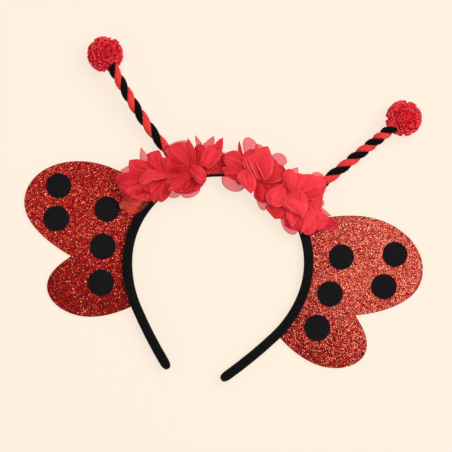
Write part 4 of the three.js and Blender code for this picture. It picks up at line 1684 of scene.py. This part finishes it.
# The petals' two kinds of end, by their first letters
R, P = Tip.ROUND, Tip.POINT
FLOWERS = (
    Flower(name="flower_outer_left", seed=11, lift=-0.18, petals=(
        Petal((165, 178), (141, 164), (128, 172), (135, 187), (2, 1, 1, 0), 1, R, 0.4),
        Petal((165, 178), (152, 159), (143, 165), (140, 176), (2, 2, 2, 1), 1, R, 0.4),
        Petal((165, 180), (140, 192), (148, 200), (163, 198), (2, 0, -1, 0), 1, R, 0.4),
        Petal((165, 176), (151, 161), (162, 157), (171, 164), (2, 3, 3, 2), 1, R, 0.4),
        Petal((163, 178), (121, 173), (117, 185), (130, 199), (2, 1, -2, 0), 2, R, 0.5),
        Petal((162, 176), (133, 164), (120, 170), (128, 176), (2, 2, 1, 1), 1, P, 0.5, True),
        Petal((162, 175), (143, 160), (129, 160), (130, 171), (3, 4, 3, 2), 1, P, 0.5),
        Petal((162, 174), (140, 160), (141, 147), (149, 159), (4, 3, 6, 5), 2, P, 0.55, True),
        Petal((163, 174), (146, 155), (159, 150), (163, 162), (4, 4, 5, 3), 1, P, 0.55),
        Petal((162, 180), (135, 186), (127, 195), (150, 201), (3, 5, 2, -2), -1, R, 0.6),
        Petal((163, 180), (158, 200), (165, 200), (171, 190), (3, 0, -1, 1), 1, R, 0.45),
        Petal((162, 183), (149, 195), (154, 203), (161, 191), (4, 2, 0, 3), 2, P, 0.55),
        Petal((166, 178), (163, 162), (168, 157), (173, 166), (3, 5, 5, 4), 1, R, 0.5),
        # Painted shade: a deep petal in the hollow under the raised lip
        Petal((164, 177), (144, 184), (149, 193), (160, 187), (4, 4, 4, 5), -2, R, 0.2, hollow=0.9),
        Petal((167, 175), (152, 180), (139, 183), (147, 169), (5, 9, 6, 6), 2, R, 0.7, rim=0.7))),
    Flower(name="flower_inner_left", seed=12, lift=-0.18, petals=(
        # Painted shadow: the first petal fills the valley between the spikes and the second lies low in the
        # gap towards the next flower, both dark for the shade there
        Petal((200, 168), (194, 150), (200, 144), (206, 150), (2.5, 3, 3, 3), 0.5, R, 0.1, hollow=0.6),
        Petal((198, 166.5), (212, 150), (236, 162), (222, 172.5), (-3.7, -3.7, -3.7, -3.7),
              0.2, R, 0.3, neck=0.6),
        Petal((193, 172), (171, 186), (180, 193), (193, 192), (1, 0, -1, -1), 1, R, 0.35),
        Petal((195, 172), (189, 191.5), (198, 189), (204, 180), (2, 0, -1, 0), 1, R, 0.4),
        Petal((193, 170), (169, 183), (164, 169), (169, 152), (3, 3, 4, 4), 1.5, R, 0.35),
        Petal((190, 165), (166, 149), (178, 141), (190, 143), (2, 4, 4, 4), 1, R, 0.5, True),
        Petal((193, 168), (165, 152), (177, 143), (190, 146), (3, 5, 5, 5), 1.5, R, 0.5),
        Petal((196, 167), (203, 144), (214, 136), (214, 148), (3, 4, 4, 2),
              1, P, 0.55, True, thin=-0.25, teeth=7),
        Petal((197, 167), (212, 146), (223, 137), (222, 156), (3, 3, 2, 0), 1, P, 0.55, teeth=7),
        Petal((205, 167), (206, 148), (216, 147), (220, 158), (3, 4, 3.5, 2), 1, R, 0.75, hollow=0.2),
        Petal((198, 168), (197, 149), (195, 135), (203, 145), (4, 6, 7, 4),
              1, P, 0.05, True, thin=-0.25, teeth=5),
        Petal((194, 167), (187, 150), (188, 138), (195.5, 151), (5, 6, 7, 5), 1, P, 0.55),
        Petal((193, 173), (181, 192), (188, 198), (200, 190), (1, -1, -2, -1), 1, R, 0.4, True),
        Petal((187, 177), (167, 191), (172, 198), (181, 193), (1, 0, -2, -1), 1, R, 0.4, True),
        Petal((195, 172), (193, 192), (202, 186.5), (206, 177), (2, 0, -1, 1), 1, R, 0.45, True),
        # Painted shade: a deep petal in the hollow under the raised lip
        Petal((195, 172), (174, 190), (184, 193), (198, 186), (3, 4, 2, 3), -2.5, R, 0.2, hollow=0.8),
        Petal((195, 171), (180, 180), (168, 190), (182, 188), (6, 5, 6, 8), -2, R, 0.55, rim=0.5),
        Petal((194, 170), (180, 176), (169, 186), (180, 182), (6, 6, 6, 7), -1.5, R, 0.5, rim=0.5),
        # Painted shadow: a dark petal for the shade under the big upper petal
        Petal((193, 168), (179, 165.5), (172, 168), (178, 175), (5.2, 5.4, 5, 5), 0, R, -0.3, hollow=0.1),
        Petal((190, 167), (203, 169), (206, 180), (198, 183), (6, 6, 5, 8), 2, R, 0.55, rim=0.5))),
    Flower(name="flower_inner_right", seed=13, lift=-0.10, petals=(
        Petal((258, 178), (231, 172), (235, 160), (246, 155), (2, 1, 1, 2), 1, R, 0.4),
        Petal((258, 178), (226, 166), (224, 174), (240, 181), (2, 1, 0, 0), 1, R, 0.45),
        Petal((258, 176), (243, 156), (252, 149), (263, 152), (2, 2, 1, 2), 1, R, 0.45),
        Petal((260, 176), (261, 152), (272, 156), (280, 168), (2, 2, 1, 1), 1, R, 0.45),
        Petal((261, 178), (278, 164), (287, 172), (283, 184), (2, 1, 0, 1), 1, R, 0.4),
        Petal((261, 180), (281, 181), (281, 193), (268, 198), (2, 1, 0, 1), 1, R, 0.3),
        Petal((259, 180), (268, 198), (262, 203), (254, 194), (1, 0, -1, 0), 1, R, 0.3),
        Petal((252, 176), (222.5, 176), (229, 190), (245, 187), (1, 0, -2, -1), 1, R, 0.45, True),
        Petal((253, 175), (231, 168), (224, 156), (239, 151), (3, 2, 3, 4), 1.5, R, 0.5),
        Petal((253, 170), (243, 146), (249, 137), (259, 149), (2, 2, 1, 2), 1, R, 0.5, True),
        Petal((258, 172), (255, 147), (260, 144), (266, 151), (2, 2, 1, 2), 1, R, 0.5, True),
        Petal((263, 174), (271, 158), (281, 153), (287, 163), (2, 1, 0, 1), 1, R, 0.45, True),
        Petal((247, 168), (238, 150), (239, 140), (242, 150), (3, 3, 3, 4), 0.5, P, 0.45),
        Petal((261, 176), (254, 152), (268, 146), (272, 161), (4, 5, 4, 3), 1, P, 0.6),
        Petal((262, 184), (256, 195), (262, 210), (268, 202), (1, 1, -2, -1), 1, R, 0.45, True),
        # Painted shadow: a dark petal in the shade towards the next flower
        Petal((262, 178), (254, 192), (263, 201), (279, 190), (2, 2, 1, 2), 1, R, 0.15),
        Petal((262, 179), (274, 164), (286, 171), (277, 182), (4, 3, 3, 6), -2, R, 0.45, hollow=0.9),
        # Painted shadow: a dark petal in the shade at the flower's left
        Petal((262, 178), (245, 160), (240, 166), (238, 174), (4, 6, 4, 3), -1, R, 0.3),
        Petal((261, 180), (242, 162), (267, 147), (273, 166), (5, 6, 5, 5), 1, P, 0.5, neck=0.35),
        # Painted highlights: three slivers painted pale all over, as light lines along the main petal's
        # folds
        Petal((253.5, 177.5), (247.8, 168.4), (243.5, 157), (249.2, 167.6), (6.5, 8, 8, 8),
              0, P, 0.6, fold=True),
        Petal((257.5, 178.5), (251.5, 168.6), (247, 157), (252.9, 167.8), (6.5, 8, 8, 8),
              0, P, 0.6, fold=True),
        Petal((264.5, 179.5), (259.3, 170.9), (254.5, 160), (260.7, 170.1), (6.5, 8, 8, 8),
              0, P, 0.6, fold=True),
        Petal((247, 170), (237, 178), (251, 194), (256, 182), (6, 7, 6, 6), 1, P, 0.8))),
    Flower(name="flower_outer_right", seed=14, lift=0.10, petals=(
        Petal((292, 196), (282, 180), (295, 173), (306, 178), (2, 2, 2, 2), 1, R, 0.45),
        Petal((292, 196), (304, 176), (319, 181), (322, 196), (2, 2, 1, 1), 1, R, 0.5),
        Petal((294, 198), (321, 192), (322, 206), (314, 215), (2, 1, 0, 0), 1, R, 0.4),
        Petal((294, 200), (319, 207), (322, 222), (308, 230), (2, 0, -2, -1), 1, R, 0.4),
        Petal((293, 202), (310, 227), (298, 231), (284, 224), (2, 0, -2, -1), 1, R, 0.45),
        Petal((290, 200), (285, 220), (274, 214), (267, 204), (2, 0, -1, 0), 1, R, 0.4),
        Petal((290, 196), (267, 204), (269, 192), (280, 184), (2, 0, 1, 2), 1, R, 0.4),
        Petal((290, 184), (289, 171), (298, 167), (298, 177), (2, 2, 1, 1), 0.5, P, 0.55, True),
        Petal((300, 191), (311, 176), (319, 172), (326, 180), (3, 2, 1, 1), 1, R, 0.5, True),
        Petal((312, 197), (319, 192), (324, 196), (319, 200), (1, 0, 0, 0), 0.5, R, 0.5, True),
        Petal((308, 201), (319, 199), (325, 203), (319, 208), (1, 0, 0, 0), 0.5, R, 0.5, True),
        Petal((303, 205), (320, 206), (332, 216), (318, 215), (1, 1, -1, 0), 0.5, P, 0.5, True),
        Petal((312, 220), (331, 217), (341, 225), (324, 231), (-2, -6.5, -9.5, -8),
              0.3, R, 0.6, True, thin=0.6),
        Petal((299, 203), (323, 213), (329, 222), (317, 230), (2, 1, -1, -1), 1, R, 0.45),
        Petal((294, 205), (281, 216), (288, 233), (299, 229), (2, 0, -2, 0), 1, R, 0.5, True),
        Petal((288, 200), (265, 206), (275, 219), (285, 216), (2, 0, -2, 0), 1, P, 0.4),
        Petal((293, 195), (299, 176), (308, 174), (317, 177), (4, 4, 3, 3), 1, R, 0.55),
        Petal((293, 196), (315, 177), (326, 181), (321, 197), (4, 4, 3, 3), 2, R, 0.7),
        # Painted shadow: a dark petal in the shade right of the heart
        Petal((295, 200), (313, 199), (317, 208), (306, 216), (3, 3, 2, 3), -1, R, 0.3),
        Petal((299, 204), (323, 217), (314, 233), (303, 230), (3, 3, 0, 1), 1, R, 0.5),
        Petal((318, 206), (306, 214), (300, 234), (312, 222), (4, 5, 4, 4), 1, P, 0.75),
        Petal((292, 207), (286, 214), (292, 228), (299, 215), (4, 5, 4, 4), 1, P, 0.7),
        Petal((292, 196), (275, 191), (283, 182), (292, 180), (3, 4, 5, 4), 1, R, 0.35),
        Petal((282, 187), (266, 194), (272, 206), (284, 203), (5, 6, 6, 8), 2, R, 0.75),
        Petal((292, 191), (283, 180), (288, 169), (297, 177), (6, 7, 7, 7), 2, R, 0.75, neck=0.25),
        Petal((297, 188), (281, 204), (303, 218), (307, 203), (7, 9, 8, 9), 2, P, 0.65, neck=0.1),
        Petal((288, 198), (287, 207), (303, 217), (306, 206), (10.5, 11, 11, 12),
              1, P, 0.8, neck=0.3, rim=0.5))),
)


def main() -> None:
    """Build every sub-assembly in order, then light and frame it."""
    logging.basicConfig(level=logging.INFO, format="%(name)s %(message)s", stream=sys.stdout)
    Hoop().build()
    for wing in WINGS:
        wing.build()
    for stem in STEMS:
        stem.build()
        Pompom(side=stem.side, stem=stem, clefts=CLEFTS[stem.side]).build()
    for strip in NETS:
        strip.build(STEMS)
    for flower in FLOWERS:
        flower.build()
    Studio().build()


if __name__ == "__main__":
    main()
